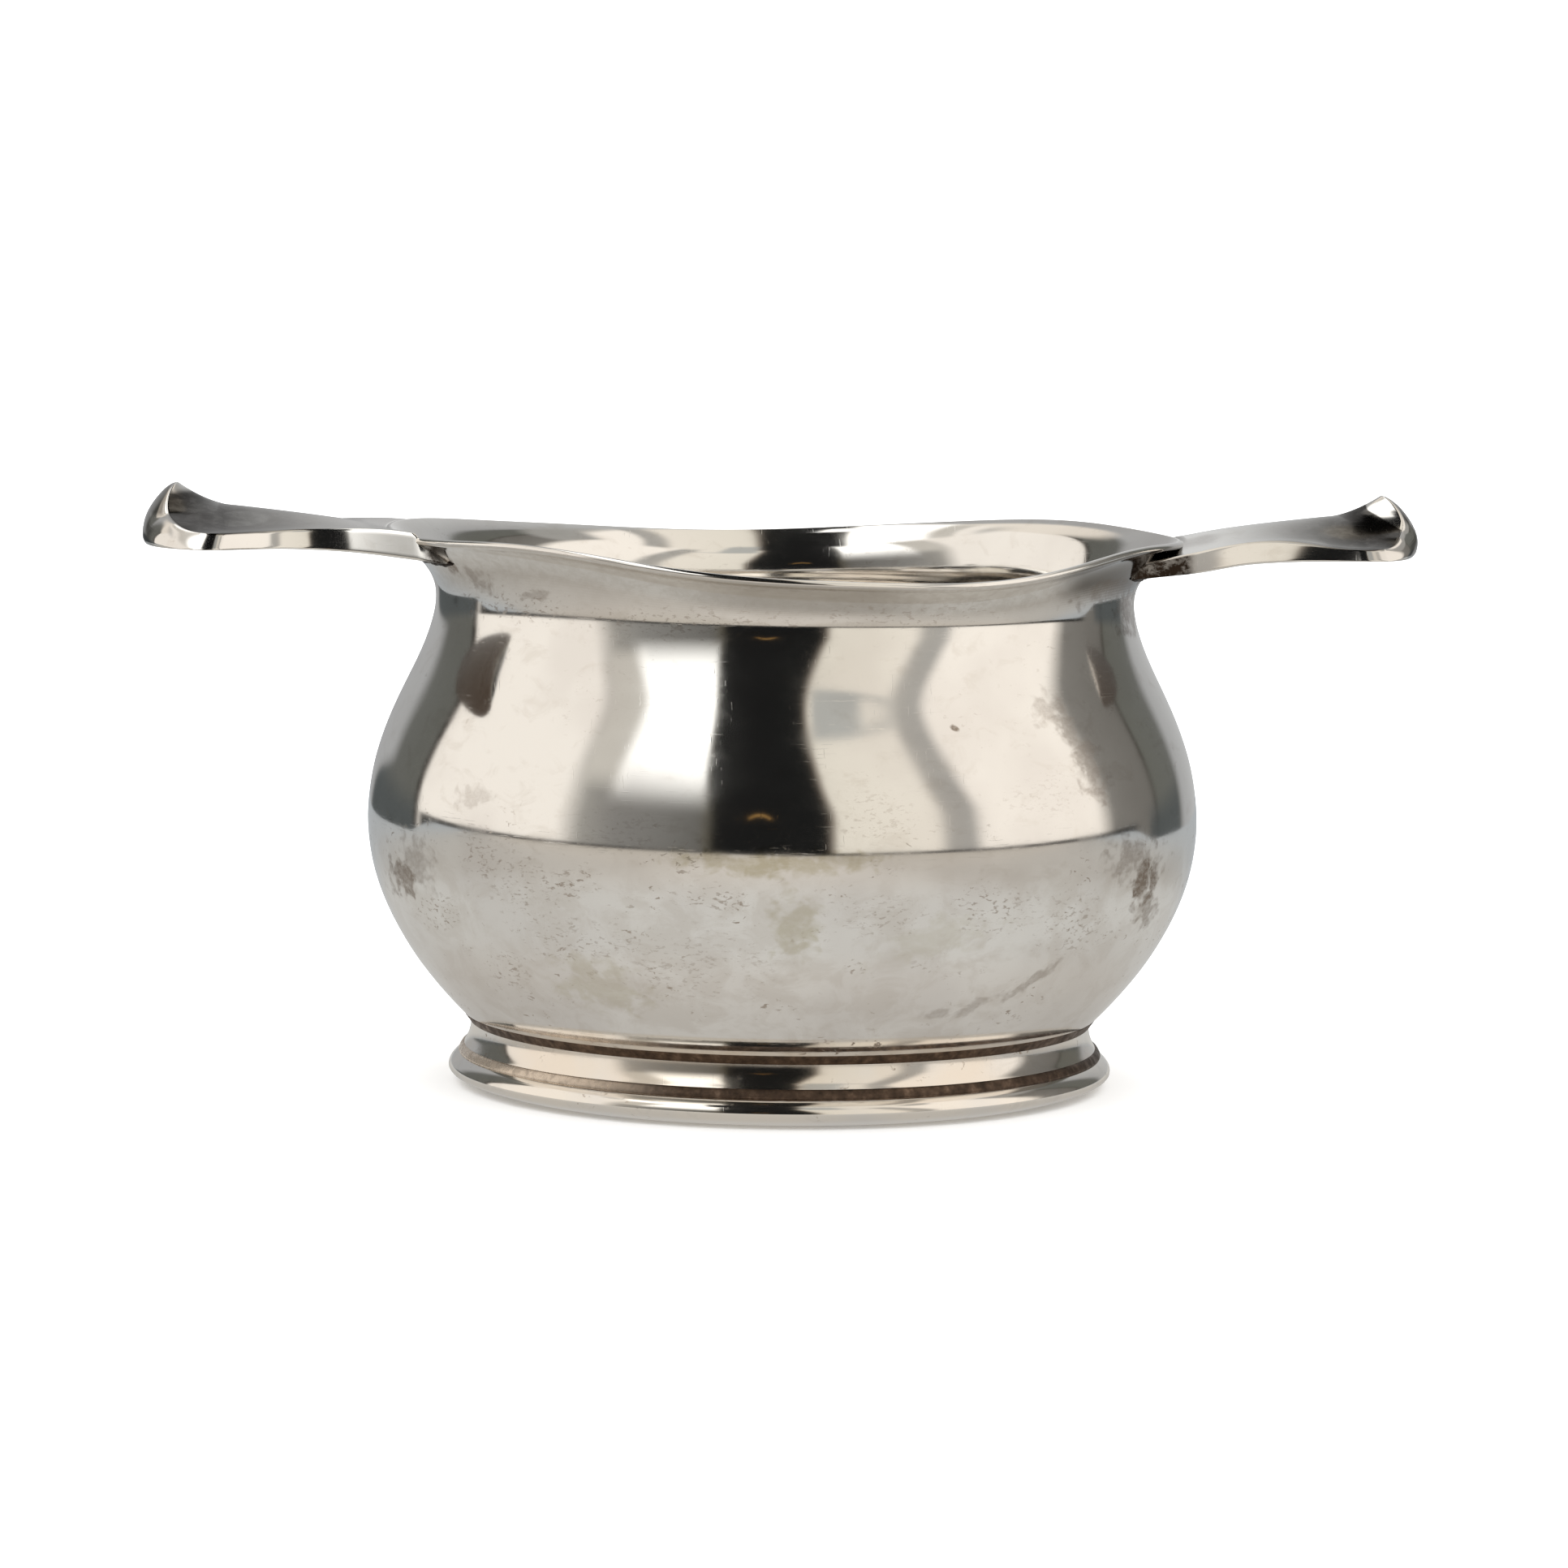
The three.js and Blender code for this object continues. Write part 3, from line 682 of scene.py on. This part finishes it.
def silver(name, tint=SILVER, rough=0.085, specks=1.0, bowl_marks=False, lug_marks=False, warm=0.0):
    m, n = material(name)
    out = n.new("ShaderNodeOutputMaterial")
    bsdf = n.new("ShaderNodeBsdfPrincipled")
    n.link(bsdf.outputs[0], out.inputs[0])
    bsdf.inputs["Metallic"].default_value = 1.0
    co = n.new("ShaderNodeTexCoord").outputs["Object"]
    mm = n.vector("SCALE", co)
    mm.node.inputs["Scale"].default_value = 1000.0       # millimetres
    split = n.new("ShaderNodeSeparateXYZ")
    n.link(mm, split.inputs[0])
    height = split.outputs[2]

    # broad, faint clouding of the polish
    cloud = n.noise(mm, 0.075, 3.0, 0.55)
    fine_cloud = n.noise(n.mapped(mm, (1, 1, 1.6), (13, 5, 2)), 0.33, 3.0, 0.6, 0.6)
    colour = n.mix(n.step(cloud, 0.42, 0.66), tint, lin((238, 234, 229)))
    colour = n.mix(n.math("MULTIPLY", n.step(fine_cloud, 0.52, 0.75), 0.45), colour, lin((226, 220, 212)))

    # small tarnish specks in loose drifts, mostly on the lower half of the belly
    drift = n.noise(n.mapped(mm, (1, 1, 1.3), (3, 31, 7)), 0.16, 2.0, 0.6)
    zone = n.step(height, 29.0, 24.0)
    drift_mask = n.math("MULTIPLY", n.step(drift, 0.48, 0.66), n.math("ADD", n.math("MULTIPLY", zone, 0.8), 0.2))
    speck = n.noise(n.mapped(mm, (1.0, 1.0, 1.9), (7, 1, 4), (0.0, 0.30, 0.2)), 1.15, 3.0, 0.62, 0.5)
    speck_mask = n.math("MULTIPLY", n.step(speck, 0.60, 0.69), drift_mask)
    colour = n.mix(n.math("MULTIPLY", speck_mask, 0.70 * specks), colour, lin((142, 120, 98)))
    normal = n.new("ShaderNodeSeparateXYZ")
    n.link(n.new("ShaderNodeNewGeometry").outputs["True Normal"], normal.inputs[0])
    facing_down = n.math("MULTIPLY", normal.outputs[2], -1.0)
    ragged = n.noise(n.mapped(mm, (1, 1, 1.5), (4, 4, 4)), 0.95, 4.0, 0.66, 0.4)
    worn = speck_mask
    if bowl_marks:
        across = n.vector("DOT_PRODUCT", mm, tuple(RIGHT), out=1)
        front = n.step(n.vector("DOT_PRODUCT", mm, tuple(TOWARD), out=1), 0.0, 3.0)

        soft = n.noise(n.mapped(mm, (1, 1, 1.3), (14, 2, 6)), 0.62, 2.0, 0.55, 0.3)

        def gather(spots, rag, source):
            total = None
            wobble = n.math("MULTIPLY", n.math("SUBTRACT", source, 0.5), rag)
            for h0, z0, rh, rz, turn, strength in spots:
                a = n.math("SUBTRACT", across, h0)
                b = n.math("SUBTRACT", height, z0)
                c, s = math.cos(math.radians(turn)), math.sin(math.radians(turn))
                u = n.math("DIVIDE", n.math("ADD", n.math("MULTIPLY", a, c), n.math("MULTIPLY", b, s)), rh)
                v = n.math("DIVIDE", n.math("SUBTRACT", n.math("MULTIPLY", b, c), n.math("MULTIPLY", a, s)), rz)
                d = n.math("SQRT", n.math("ADD", n.math("MULTIPLY", u, u), n.math("MULTIPLY", v, v)))
                spot = n.step(n.math("ADD", d, wobble), 1.25, 0.35, 0.0, strength)
                total = spot if total is None else n.math("MAXIMUM", total, spot)
            return n.math("MULTIPLY", total, front)

        dash = n.noise(n.mapped(mm, (1.0, 1.0, 2.3), (9, 3, 1), (0.0, 0.28, 0.1)), 1.5, 2.0, 0.6, 0.4)
        dashes = n.math("MULTIPLY", gather(DASHES, 2.6, ragged), n.step(dash, 0.545, 0.66))
        grain = n.noise(n.mapped(mm, (1, 1, 1.6), (1, 8, 3)), 1.7, 3.0, 0.65)
        stains = n.math("MULTIPLY", gather(STAINS, 3.4, soft), n.step(grain, 0.34, 0.62, 0.70, 1.0))
        # olive tarnish, with painted shade across the middle at 24 mm height
        olive_tarnish_and_shade = n.math("MULTIPLY", gather(OLIVE_TARNISH_AND_SHADE, 2.6, soft), n.step(grain, 0.30, 0.60, 0.8, 1.0))
        colour = n.mix(olive_tarnish_and_shade, colour, lin((210, 203, 182)))
        # painted shade and reflection on the underside of the lip: patchy grey-brown, darker across the middle,
        # darkest at the right
        lip_underside_shade = n.math("MULTIPLY", n.step(height, 43.2, 45.2), n.step(facing_down, 0.02, 0.40))
        patchy = n.step(ragged, 0.36, 0.64, 0.70, 1.0)
        right = n.step(across, 22.5, 26.5, 0.0, 1.0)
        middle = n.math("MULTIPLY", n.step(across, -12.0, -2.0), n.step(across, 15.0, 7.0))
        colour = n.mix(n.math("MULTIPLY", lip_underside_shade, patchy), colour, lin((212, 206, 198)))
        colour = n.mix(n.math("MULTIPLY", n.math("MULTIPLY", lip_underside_shade, middle), 0.6), colour, lin((168, 160, 149)))
        colour = n.mix(n.math("MULTIPLY", n.math("MULTIPLY", lip_underside_shade, right), 0.92), colour, lin((106, 101, 95)))
        # cloudy bloom low on the body
        bloom = n.noise(n.mapped(mm, (1, 1, 1.2), (21, 3, 9)), 0.24, 5.0, 0.62, 0.5)
        low_zone = n.step(height, 24.5, 20.5)
        bloom = n.math("MULTIPLY", n.step(bloom, 0.42, 0.62), low_zone)
        colour = n.mix(n.math("MULTIPLY", bloom, 0.30), colour, lin((208, 198, 186)))
        # painted shade: the lower flanks towards both sides are painted darker
        outer = n.math("MULTIPLY", n.step(n.math("ABSOLUTE", across), 15.0, 30.0), n.step(height, 19.0, 12.0))
        colour = n.mix(n.math("MULTIPLY", outer, 0.42), colour, lin((204, 194, 183)))
        # a warm gold-brown line painted just inside the front of the lip: a painted reflection
        inward = n.step(n.vector("DOT_PRODUCT", n.new("ShaderNodeNewGeometry").outputs["True Normal"],
                                 tuple(TOWARD), out=1), 0.0, -0.2)
        warm_lip_reflection = n.math("MULTIPLY", n.math("MULTIPLY", inward, front), n.step(height, 46.4, 47.0))
        warm_lip_reflection = n.math("MULTIPLY", warm_lip_reflection, n.math("MULTIPLY", n.step(across, 2.0, 6.0), n.step(across, 24.0, 18.0)))
        colour = n.mix(n.math("MULTIPLY", warm_lip_reflection, 0.95), colour, lin((206, 178, 132)))
        colour = n.mix(dashes, colour, lin((140, 117, 96)))
        colour = n.mix(stains, colour, lin((116, 94, 72)))
        worn = n.math("MAXIMUM", worn, n.math("MAXIMUM", stains, dashes))
    if lug_marks:
        parts = n.vector("ABSOLUTE", mm)
        out_xyz = n.new("ShaderNodeSeparateXYZ")
        n.link(parts, out_xyz.inputs[0])
        reach = out_xyz.outputs[0]
        # dull brown underneath, black in the hollow before the turned-up end, and black at the root as painted shadow
        # under the lip
        under = n.math("MULTIPLY", n.step(facing_down, 0.75, 0.95), n.step(ragged, 0.2, 0.5, 0.85, 1.0))
        colour = n.mix(under, colour, lin((84, 64, 46)))
        top = n.step(normal.outputs[2], 0.35, 0.75)
        sign = n.math("SIGN", split.outputs[0])
        outward = n.math("MULTIPLY", normal.outputs[0], sign)
        hollow = n.math("MULTIPLY", n.step(n.math("ADD", reach, n.math("MULTIPLY", sign, -0.5)), 38.0, 51.0, kind="LINEAR"), n.step(height, 53.6, 53.0))
        hollow = n.math("MULTIPLY", hollow, n.step(outward, 0.22, 0.06))
        hollow = n.math("MULTIPLY", n.math("MULTIPLY", hollow, top), n.step(ragged, 0.34, 0.60, 0.93, 1.0))
        # a bright facet is left inside the tip of the right lug
        bevel = n.math("ADD", height, n.math("MULTIPLY", n.math("SUBTRACT", reach, 53.1), 0.63))
        bevel = n.math("MULTIPLY", n.step(bevel, 52.0, 52.2), n.step(sign, 0.0, 0.5))
        bevel = n.math("MULTIPLY", bevel, n.step(reach, 52.7, 52.9))
        hollow = n.math("MULTIPLY", hollow, n.math("SUBTRACT", 1.0, bevel))
        colour = n.mix(hollow, colour, lin((60, 56, 52)))
        # the end faces and the rim of the tip are painted darker grey: painted shade, set by which way the faces turn
        toward = n.vector("DOT_PRODUCT", n.new("ShaderNodeNewGeometry").outputs["True Normal"], tuple(TOWARD), out=1)
        end_face_shade = n.math("MULTIPLY", n.step(outward, 0.62, 0.80), n.step(reach, 53.0, 55.0))
        end_face_shade = n.math("MULTIPLY", end_face_shade, n.step(toward, 0.50, 0.38))
        tip_rim_shade = n.math("MULTIPLY", n.step(height, 51.0, 51.6), n.step(outward, 0.28, 0.42))
        tip_rim_shade = n.math("MULTIPLY", tip_rim_shade, n.step(reach, 53.0, 54.0))
        colour = n.mix(n.math("MULTIPLY", n.math("MAXIMUM", end_face_shade, tip_rim_shade), 0.82), colour, lin((122, 118, 112)))
        # painted shadow: the silver near the root, under the lip, is painted near-black
        far = n.math("ADD", reach, n.math("MULTIPLY", sign, -1.4))
        root = n.math("MULTIPLY", n.step(far, 34.8, 33.6), n.step(ragged, 0.36, 0.56, 0.7, 1.0))
        root = n.math("MULTIPLY", root, n.math("SUBTRACT", 1.0, top))
        colour = n.mix(root, colour, lin((52, 42, 34)))
        worn = n.math("MAXIMUM", worn, n.math("MAXIMUM", n.math("MULTIPLY", under, 0.7), root))
    bsdf.inputs["Base Color"].default_value = tint
    n.link(colour, bsdf.inputs["Base Color"])

    # smudges and fine wiping scratches in the gloss
    smudge = n.noise(n.mapped(mm, (1, 1, 1.4), (2, 9, 17)), 0.21, 4.0, 0.6, 0.3)
    r = n.step(smudge, 0.35, 0.75, rough * 0.85, rough * 1.35)
    r = n.math("ADD", r, n.math("MULTIPLY", worn, 0.22))
    n.link(r, bsdf.inputs["Roughness"])
    hair_a = n.noise(n.mapped(mm, (0.35, 0.35, 9.0), (0, 0, 0), (0.22, 0.1, 0.3)), 0.9, 2.0, 0.5)
    hair_b = n.noise(n.mapped(mm, (7.0, 0.4, 0.7), (5, 5, 5), (0.5, 0.7, 0.2)), 0.8, 2.0, 0.5)
    hair = n.math("ADD", n.step(hair_a, 0.66, 0.72), n.step(hair_b, 0.68, 0.74))
    bump = n.new("ShaderNodeBump")
    bump.inputs["Strength"].default_value = 0.05
    bump.inputs["Distance"].default_value = 0.00002
    n.link(hair, bump.inputs["Height"])
    n.link(bump.outputs[0], bsdf.inputs["Normal"])
    return m


def solder(name, dark, mid, light, polished_left=False):
    m, n = material(name)
    out = n.new("ShaderNodeOutputMaterial")
    bsdf = n.new("ShaderNodeBsdfPrincipled")
    n.link(bsdf.outputs[0], out.inputs[0])
    bsdf.inputs["Metallic"].default_value = 0.8
    co = n.new("ShaderNodeTexCoord").outputs["Object"]
    mm = n.vector("SCALE", co)
    mm.node.inputs["Scale"].default_value = 1000.0
    blotch = n.noise(mm, 1.1, 4.0, 0.6)
    colour = n.ramp(blotch, [(0.30, lin(dark)), (0.55, lin(mid)), (0.74, lin(light))])
    rough = n.step(blotch, 0.3, 0.7, 0.55, 0.34)
    if polished_left:
        # on the left this joint has been rubbed bright with the foot
        bright = n.step(n.vector("DOT_PRODUCT", mm, tuple(RIGHT), out=1), -8.0, -21.0)
        bright = n.math("MULTIPLY", bright, n.step(blotch, 0.35, 0.55, 0.75, 0.95))
        colour = n.mix(bright, colour, lin((208, 192, 174)))
        rough = n.math("SUBTRACT", rough, n.math("MULTIPLY", bright, 0.2))
    n.link(colour, bsdf.inputs["Base Color"])
    n.link(rough, bsdf.inputs["Roughness"])
    bump = n.new("ShaderNodeBump")
    bump.inputs["Strength"].default_value = 0.15 if polished_left else 0.4
    bump.inputs["Distance"].default_value = 0.0001
    n.link(n.noise(mm, 2.2, 4.0, 0.6), bump.inputs["Height"])
    n.link(bump.outputs[0], bsdf.inputs["Normal"])
    return m


# --------------------------------------------------------------------- studio
def studio():
    world = bpy.data.worlds.new("studio")
    bpy.context.scene.world = world
    world.use_nodes = True
    world.cycles.sampling_method = "NONE"
    n = Nodes(world.node_tree)
    out = n.new("ShaderNodeOutputWorld")
    direction = n.new("ShaderNodeTexCoord").outputs["Generated"]
    x = n.vector("DOT_PRODUCT", direction, tuple(RIGHT), out=1)
    y = n.vector("DOT_PRODUCT", direction, tuple(TOWARD), out=1)
    split = n.new("ShaderNodeSeparateXYZ")
    n.link(direction, split.inputs[0])
    az = n.math("MULTIPLY", n.math("ARCTAN2", x, y), 180 / math.pi)
    el = n.math("MULTIPLY", n.math("ARCSINE", split.outputs[2]), 180 / math.pi)

    # the panels stand leaning, so their upright edges shift with height
    rate = n.step(az, -20.0, 10.0, 0.14, 0.19)
    above = n.math("SUBTRACT", n.math("MINIMUM", n.math("MAXIMUM", el, 15.0), 47.0), 15.0)
    shift = n.math("MULTIPLY", above, rate)
    shift = n.math("MULTIPLY", shift, n.math("MULTIPLY", n.step(az, -110.0, -75.0), n.step(az, 92.0, 62.0)))
    turn = n.math("ADD", az, shift)
    # low on the left the dark screen reaches further round
    turn = n.math("ADD", turn, n.math("MULTIPLY", n.step(el, 5.0, -5.0, 0.0, 17.0), n.step(az, -128.0, -140.0)))
    fac = n.math("DIVIDE", n.math("ADD", turn, 180.0), 360.0)

    gain = 1 / 0.90

    def stops(rows):
        out_rows = []
        for a, c in rows:
            v = lin(c) if len(c) == 3 else c
            k = gain if len(c) == 3 else 1.0
            out_rows.append(((a + 180.0) / 360.0, (v[0] * k, v[1] * k, v[2] * k, 1.0)))
        return out_rows

    WHITE = (1.55, 1.55, 1.52, 1)
    panels = stops([
        (-180, (184, 184, 184)), (-173, (160, 160, 160)), (-148, (161, 162, 163)),
        (-144.8, (140, 141, 141)), (-141, (98, 99, 96)), (-123.5, (93, 94, 90)), (-122.3, (38, 36, 33)),
        (-120.8, (60, 54, 48)), (-119.6, (237, 232, 225)), (-64.5, (237, 232, 225)), (-57, (150, 148, 143)),
        (-47, (129, 128, 125)), (-23, (100, 99, 96)), (-20.4, (90, 86, 76)), (-18.8, (26, 26, 26)),
        (12.4, (24, 25, 25)), (13.6, (84, 68, 54)), (15.2, (220, 215, 204)), (43.0, (228, 222, 212)),
        (47.0, (166, 163, 158)), (53.5, (162, 160, 156)), (57.5, (242, 236, 228)), (97, (243, 237, 229)),
        (104, (120, 118, 114)), (125, (106, 104, 100)), (126.2, (55, 50, 45)), (127.6, (98, 99, 94)),
        (143.6, (99, 100, 97)), (146.4, (140, 141, 141)), (149, (160, 161, 162)),
        (172, (182, 183, 183)), (180, (206, 207, 207))])
    shown = n.ramp(fac, panels)
    # above the screens' foot the grey gap beside the lit panel is much paler
    gap = n.math("MULTIPLY", n.step(el, 19.0, 30.0), n.math("MULTIPLY", n.step(turn, -62.0, -57.0), n.step(turn, -44.0, -47.0)))
    shown = n.mix(n.math("MULTIPLY", gap, 0.8), shown, lin((212, 208, 200)))
    # a bluish tinge and a darker foot in the screens at the sides
    foot = n.math("MULTIPLY", n.step(el, 4.0, -2.0), n.step(n.math("ABSOLUTE", turn), 120.0, 124.0))
    foot = n.math("MULTIPLY", foot, n.step(n.math("ABSOLUTE", turn), 146.0, 142.0))
    shown = n.mix(n.math("MULTIPLY", foot, 0.8), shown, lin((78, 83, 85)))
    upper = n.math("MULTIPLY", n.step(el, 36.0, 41.0), n.math("MULTIPLY", n.step(az, -158.0, -150.0), n.step(az, -114.0, -118.0)))
    shown = n.mix(upper, shown, lin((236, 229, 219)))
    # the lit panel: its left edge leans, its right edge meets the dark one
    lit_left = n.math("ADD", -49.5, n.math("MULTIPLY", n.math("SUBTRACT", el, 20.0), 0.15))
    lit = n.math("MULTIPLY", n.step(n.math("SUBTRACT", turn, lit_left), -3.0, 3.0), n.step(turn, -19.9, -21.2))
    lit = n.math("MULTIPLY", lit, n.step(el, 13.0, 40.0))
    shown = n.mix(lit, shown, WHITE)
    # overhead the panels run on as level strips, right over to the back
    arc = n.math("ARCTAN2", split.outputs[2], y)
    spread = n.math("MAXIMUM", n.math("ADD", n.math("COSINE", n.math("ADD", arc, -0.314)), 1.1), 0.3)
    place = n.math("DIVIDE", n.math("MULTIPLY", x, 2.0), spread)
    wide = n.math("ABSOLUTE", place)
    place = n.math("MINIMUM", n.math("MAXIMUM", place, -0.95), 0.95)
    strip = n.math("MULTIPLY", n.math("ARCSINE", place), 180 / math.pi)
    drift = n.math("ADD", 5.5, n.math("MULTIPLY", n.math("MAXIMUM", n.math("ADD", arc, -0.349), 0.0), 3.44))
    strip = n.math("ADD", strip, n.math("MULTIPLY", n.step(strip, -12.0, 2.0), drift))
    over = n.ramp(n.math("DIVIDE", n.math("ADD", strip, 180.0), 360.0), panels)
    lit_over = n.math("MULTIPLY", n.step(strip, -51.0, -45.0), n.step(strip, -19.9, -21.2))
    gap_over = n.math("MULTIPLY", n.step(strip, -62.0, -57.0), n.step(strip, -44.0, -47.0))
    over = n.mix(n.math("MULTIPLY", gap_over, 0.8), over, lin((212, 208, 200)))
    over = n.mix(lit_over, over, WHITE)
    over = n.mix(n.step(wide, 0.95, 1.08), over, lin((172, 171, 168)))
    shown = n.mix(n.step(el, 46.0, 54.0), shown, over)

    def window(x, a, b, c, d):
        return n.math("MULTIPLY", n.step(x, a, b), n.step(x, d, c))

    # a small lamp high behind the bowl, and the height at which the right screen ends
    lamp = n.math("MULTIPLY", window(x, -0.31, -0.29, -0.125, -0.11), window(arc, 1.87, 1.90, 2.08, 2.11))
    shown = n.mix(lamp, shown, WHITE)
    upper = n.math("MULTIPLY", n.step(el, 36.0, 41.0), window(az, 100, 106, 150, 157))
    upper = n.math("MULTIPLY", upper, n.step(el, 54.0, 48.0))
    shown = n.mix(n.math("MULTIPLY", upper, 0.8), shown, lin((168, 167, 164)))

    # a grey panel high on the right, with a paler one beside it
    low_part = n.step(el, 66.0, 58.0)
    edge = n.math("MULTIPLY", window(el, 42.4, 43.6, 44.0, 45.2), window(az, 9, 14, 38, 44))
    shown = n.mix(n.math("MULTIPLY", edge, 0.7), shown, lin((182, 182, 178)))
    panel = n.math("MULTIPLY", n.step(el, 42.4, 44.2), window(az, 9, 12, 25, 31))
    shown = n.mix(n.math("MULTIPLY", n.math("MULTIPLY", panel, low_part), 0.9), shown, lin((174, 176, 174)))
    # a small warm glint, curved, low in the dark part
    swing = n.math("DIVIDE", n.math("ADD", az, 6.0), 3.0)
    rise = n.math("SUBTRACT", el, n.math("SUBTRACT", 15.6, n.math("MULTIPLY", n.math("MULTIPLY", swing, swing), 1.6)))
    glint = n.math("MULTIPLY", window(rise, -0.9, -0.2, 0.2, 0.9), window(az, -9.6, -8.6, -3.4, -2.4))
    shown = n.mix(n.math("MULTIPLY", glint, 0.8), shown, lin((170, 132, 78)))
    # the far edge of the table: a thin dark line just under the horizon
    ahead = n.math("MULTIPLY", n.step(az, -121.0, -117.0), n.step(az, 117.0, 112.0))
    line = n.math("MULTIPLY", n.step(el, 0.35, -0.15), ahead)
    shown = n.mix(line, shown, (0.035, 0.034, 0.032, 1))
    path = n.new("ShaderNodeLightPath")
    mixed = n.mix(path.outputs["Is Glossy Ray"], (1.95, 1.95, 1.95, 1), shown)
    background = n.new("ShaderNodeBackground")
    n.link(mixed, background.inputs[0])
    n.link(background.outputs[0], out.inputs[0])


def disc(name, radius, z, rings, around=96, side_limit=None):
    verts = [(0, 0, z)]
    faces = []
    for i, f in enumerate(rings):
        for j in range(around):
            a = 2 * math.pi * j / around
            r = radius * f
            if side_limit:
                # the table top ends closer behind the bowl than in front of it
                d = Vector((math.cos(a), math.sin(a), 0))
                turn = abs(math.degrees(math.atan2(d.dot(RIGHT), d.dot(TOWARD))))
                r = min(r, radius + (side_limit * f - radius) * float(smooth((turn - 108) / 10)))
            verts.append((r * math.cos(a), r * math.sin(a), z))
    for j in range(around):
        faces.append((0, 1 + j, 1 + (j + 1) % around))
    for i in range(len(rings) - 1):
        a, b = 1 + i * around, 1 + (i + 1) * around
        for j in range(around):
            k = (j + 1) % around
            faces.append((a + j, b + j, b + k, a + k))
    return mesh_object(name, verts, faces, False)


def floor():
    big = disc("floor", 6000.0, -0.02, [0.02, 0.1, 1.0])
    m, n = material("pale_floor")
    out = n.new("ShaderNodeOutputMaterial")
    bsdf = n.new("ShaderNodeBsdfDiffuse")
    bsdf.inputs["Color"].default_value = (0.985, 0.985, 0.98, 1)
    n.link(bsdf.outputs[0], out.inputs[0])
    big.data.materials.append(m)
    big.visible_glossy = False

    table = disc("table_light", 1300.0, -0.04, [0.02, 0.05, 0.1, 0.2, 0.3, 0.6, 1.0], 180, 300.0)
    m, n = material("table_light")
    out = n.new("ShaderNodeOutputMaterial")
    glow = n.new("ShaderNodeEmission")
    co = n.new("ShaderNodeTexCoord").outputs["Object"]
    mm = n.vector("SCALE", co)
    mm.node.inputs["Scale"].default_value = 1000.0
    front = n.vector("DOT_PRODUCT", mm, tuple(TOWARD), out=1)
    dist = n.vector("LENGTH", mm, out=1)
    tone = n.ramp(n.step(front, -260.0, 420.0, kind="LINEAR"),
                  [(0.0, lin((188, 194, 199))), (0.18, lin((190, 194, 197))), (0.32, lin((196, 195, 192))),
                   (0.46, lin((205, 202, 197))), (0.62, lin((212, 207, 200))), (1.0, lin((210, 204, 195)))])
    sideways = n.math("ABSOLUTE", n.vector("DOT_PRODUCT", mm, tuple(RIGHT), out=1))
    tone = n.mix(n.step(sideways, 24.0, 110.0), tone, n.mix(1.0, tone, (0.84, 0.832, 0.82, 1), "MULTIPLY"))
    halo = n.math("MULTIPLY", n.step(dist, 38.0, 50.0), n.step(dist, 120.0, 66.0))
    tone = n.mix(n.math("MULTIPLY", halo, 0.55), tone, lin((206, 207, 205)))
    # painted contact shadow: the glowing table is made darker close round the foot
    contact_shade = n.step(dist, 27.0, 44.0, 0.85, 1.0)
    tone = n.mix(1.0, tone, contact_shade, "MULTIPLY")
    n.link(tone, glow.inputs[0])
    n.link(glow.outputs[0], out.inputs[0])
    table.data.materials.append(m)
    table.visible_camera = False
    table.visible_diffuse = False
    table.visible_shadow = False
    table.visible_transmission = False


def camera():
    data = bpy.data.cameras.new("camera")
    data.sensor_width = 36.0
    data.lens = 8047.0 / 1932.0 * 36.0
    data.clip_start = 0.01
    data.clip_end = 50.0
    obj = bpy.data.objects.new("camera", data)
    bpy.context.scene.collection.objects.link(obj)
    place = Vector((-588.0 * math.sin(YAW), -588.0 * math.cos(YAW), 88.2))
    aim = Vector((0, 0, 27.03))
    forward = (aim - place).normalized()
    right = forward.cross(Vector((0, 0, 1))).normalized()
    # the axis stands a little left of the middle of the picture
    forward = (forward + right * (1.5 / 8047.0)).normalized()
    right = forward.cross(Vector((0, 0, 1))).normalized()
    up = right.cross(forward)
    roll = math.radians(0.70)
    right, up = (right * math.cos(roll) + up * math.sin(roll),
                 up * math.cos(roll) - right * math.sin(roll))
    m = Matrix((right, up, -forward)).transposed().to_4x4()
    m.translation = place * MM
    obj.matrix_world = m
    bpy.context.scene.camera = obj


# ------------------------------------------------------------------- assembly
silver_bowl = silver("silver_bowl", bowl_marks=True)
silver_handle = silver("silver_handle", rough=0.10, specks=0.8, lug_marks=True)
silver_foot = silver("silver_foot", tint=lin((247, 240, 230)), rough=0.10, specks=0.9)
silver_collar = silver("silver_collar", tint=lin((241, 230, 216)), rough=0.11, specks=1.1)
solder_brown = solder("tarnished_solder", (64, 49, 37), (90, 71, 55), (120, 98, 79))
solder_ring = solder("rubbed_solder", (62, 50, 40), (88, 71, 58), (120, 100, 83), polished_left=True)
solder_dark = solder("blackened_solder", (30, 25, 21), (54, 44, 36), (128, 114, 100))


def finish_piece(obj, mat, slot, *nodes):
    obj.data.materials.append(mat)
    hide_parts(*nodes)
    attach(obj, "root")


finish_piece(bowl(), silver_bowl, "silver_bowl", "bowl_body")
finish_piece(foot_collar(), silver_collar, "silver_foot", "foot_collar")
finish_piece(foot_base(), silver_foot, "silver_foot", "foot_base_ring")
upper_seam, lower_seam = foot_seams()
finish_piece(upper_seam, solder_brown, "tarnished_solder", "foot_solder_seam")
finish_piece(lower_seam, solder_ring, "tarnished_solder", "base_ring_solder_seam")
finish_piece(handle(-1), silver_handle, "silver_handle", "handle_left")
finish_piece(handle(1), silver_handle, "silver_handle", "handle_right")
finish_piece(handle_solder(-1), solder_dark, "tarnished_solder", "handle_left_solder")
finish_piece(handle_solder(1), solder_dark, "tarnished_solder", "handle_right_solder")

studio()
floor()
camera()
bpy.context.scene.view_settings.view_transform = "Standard"
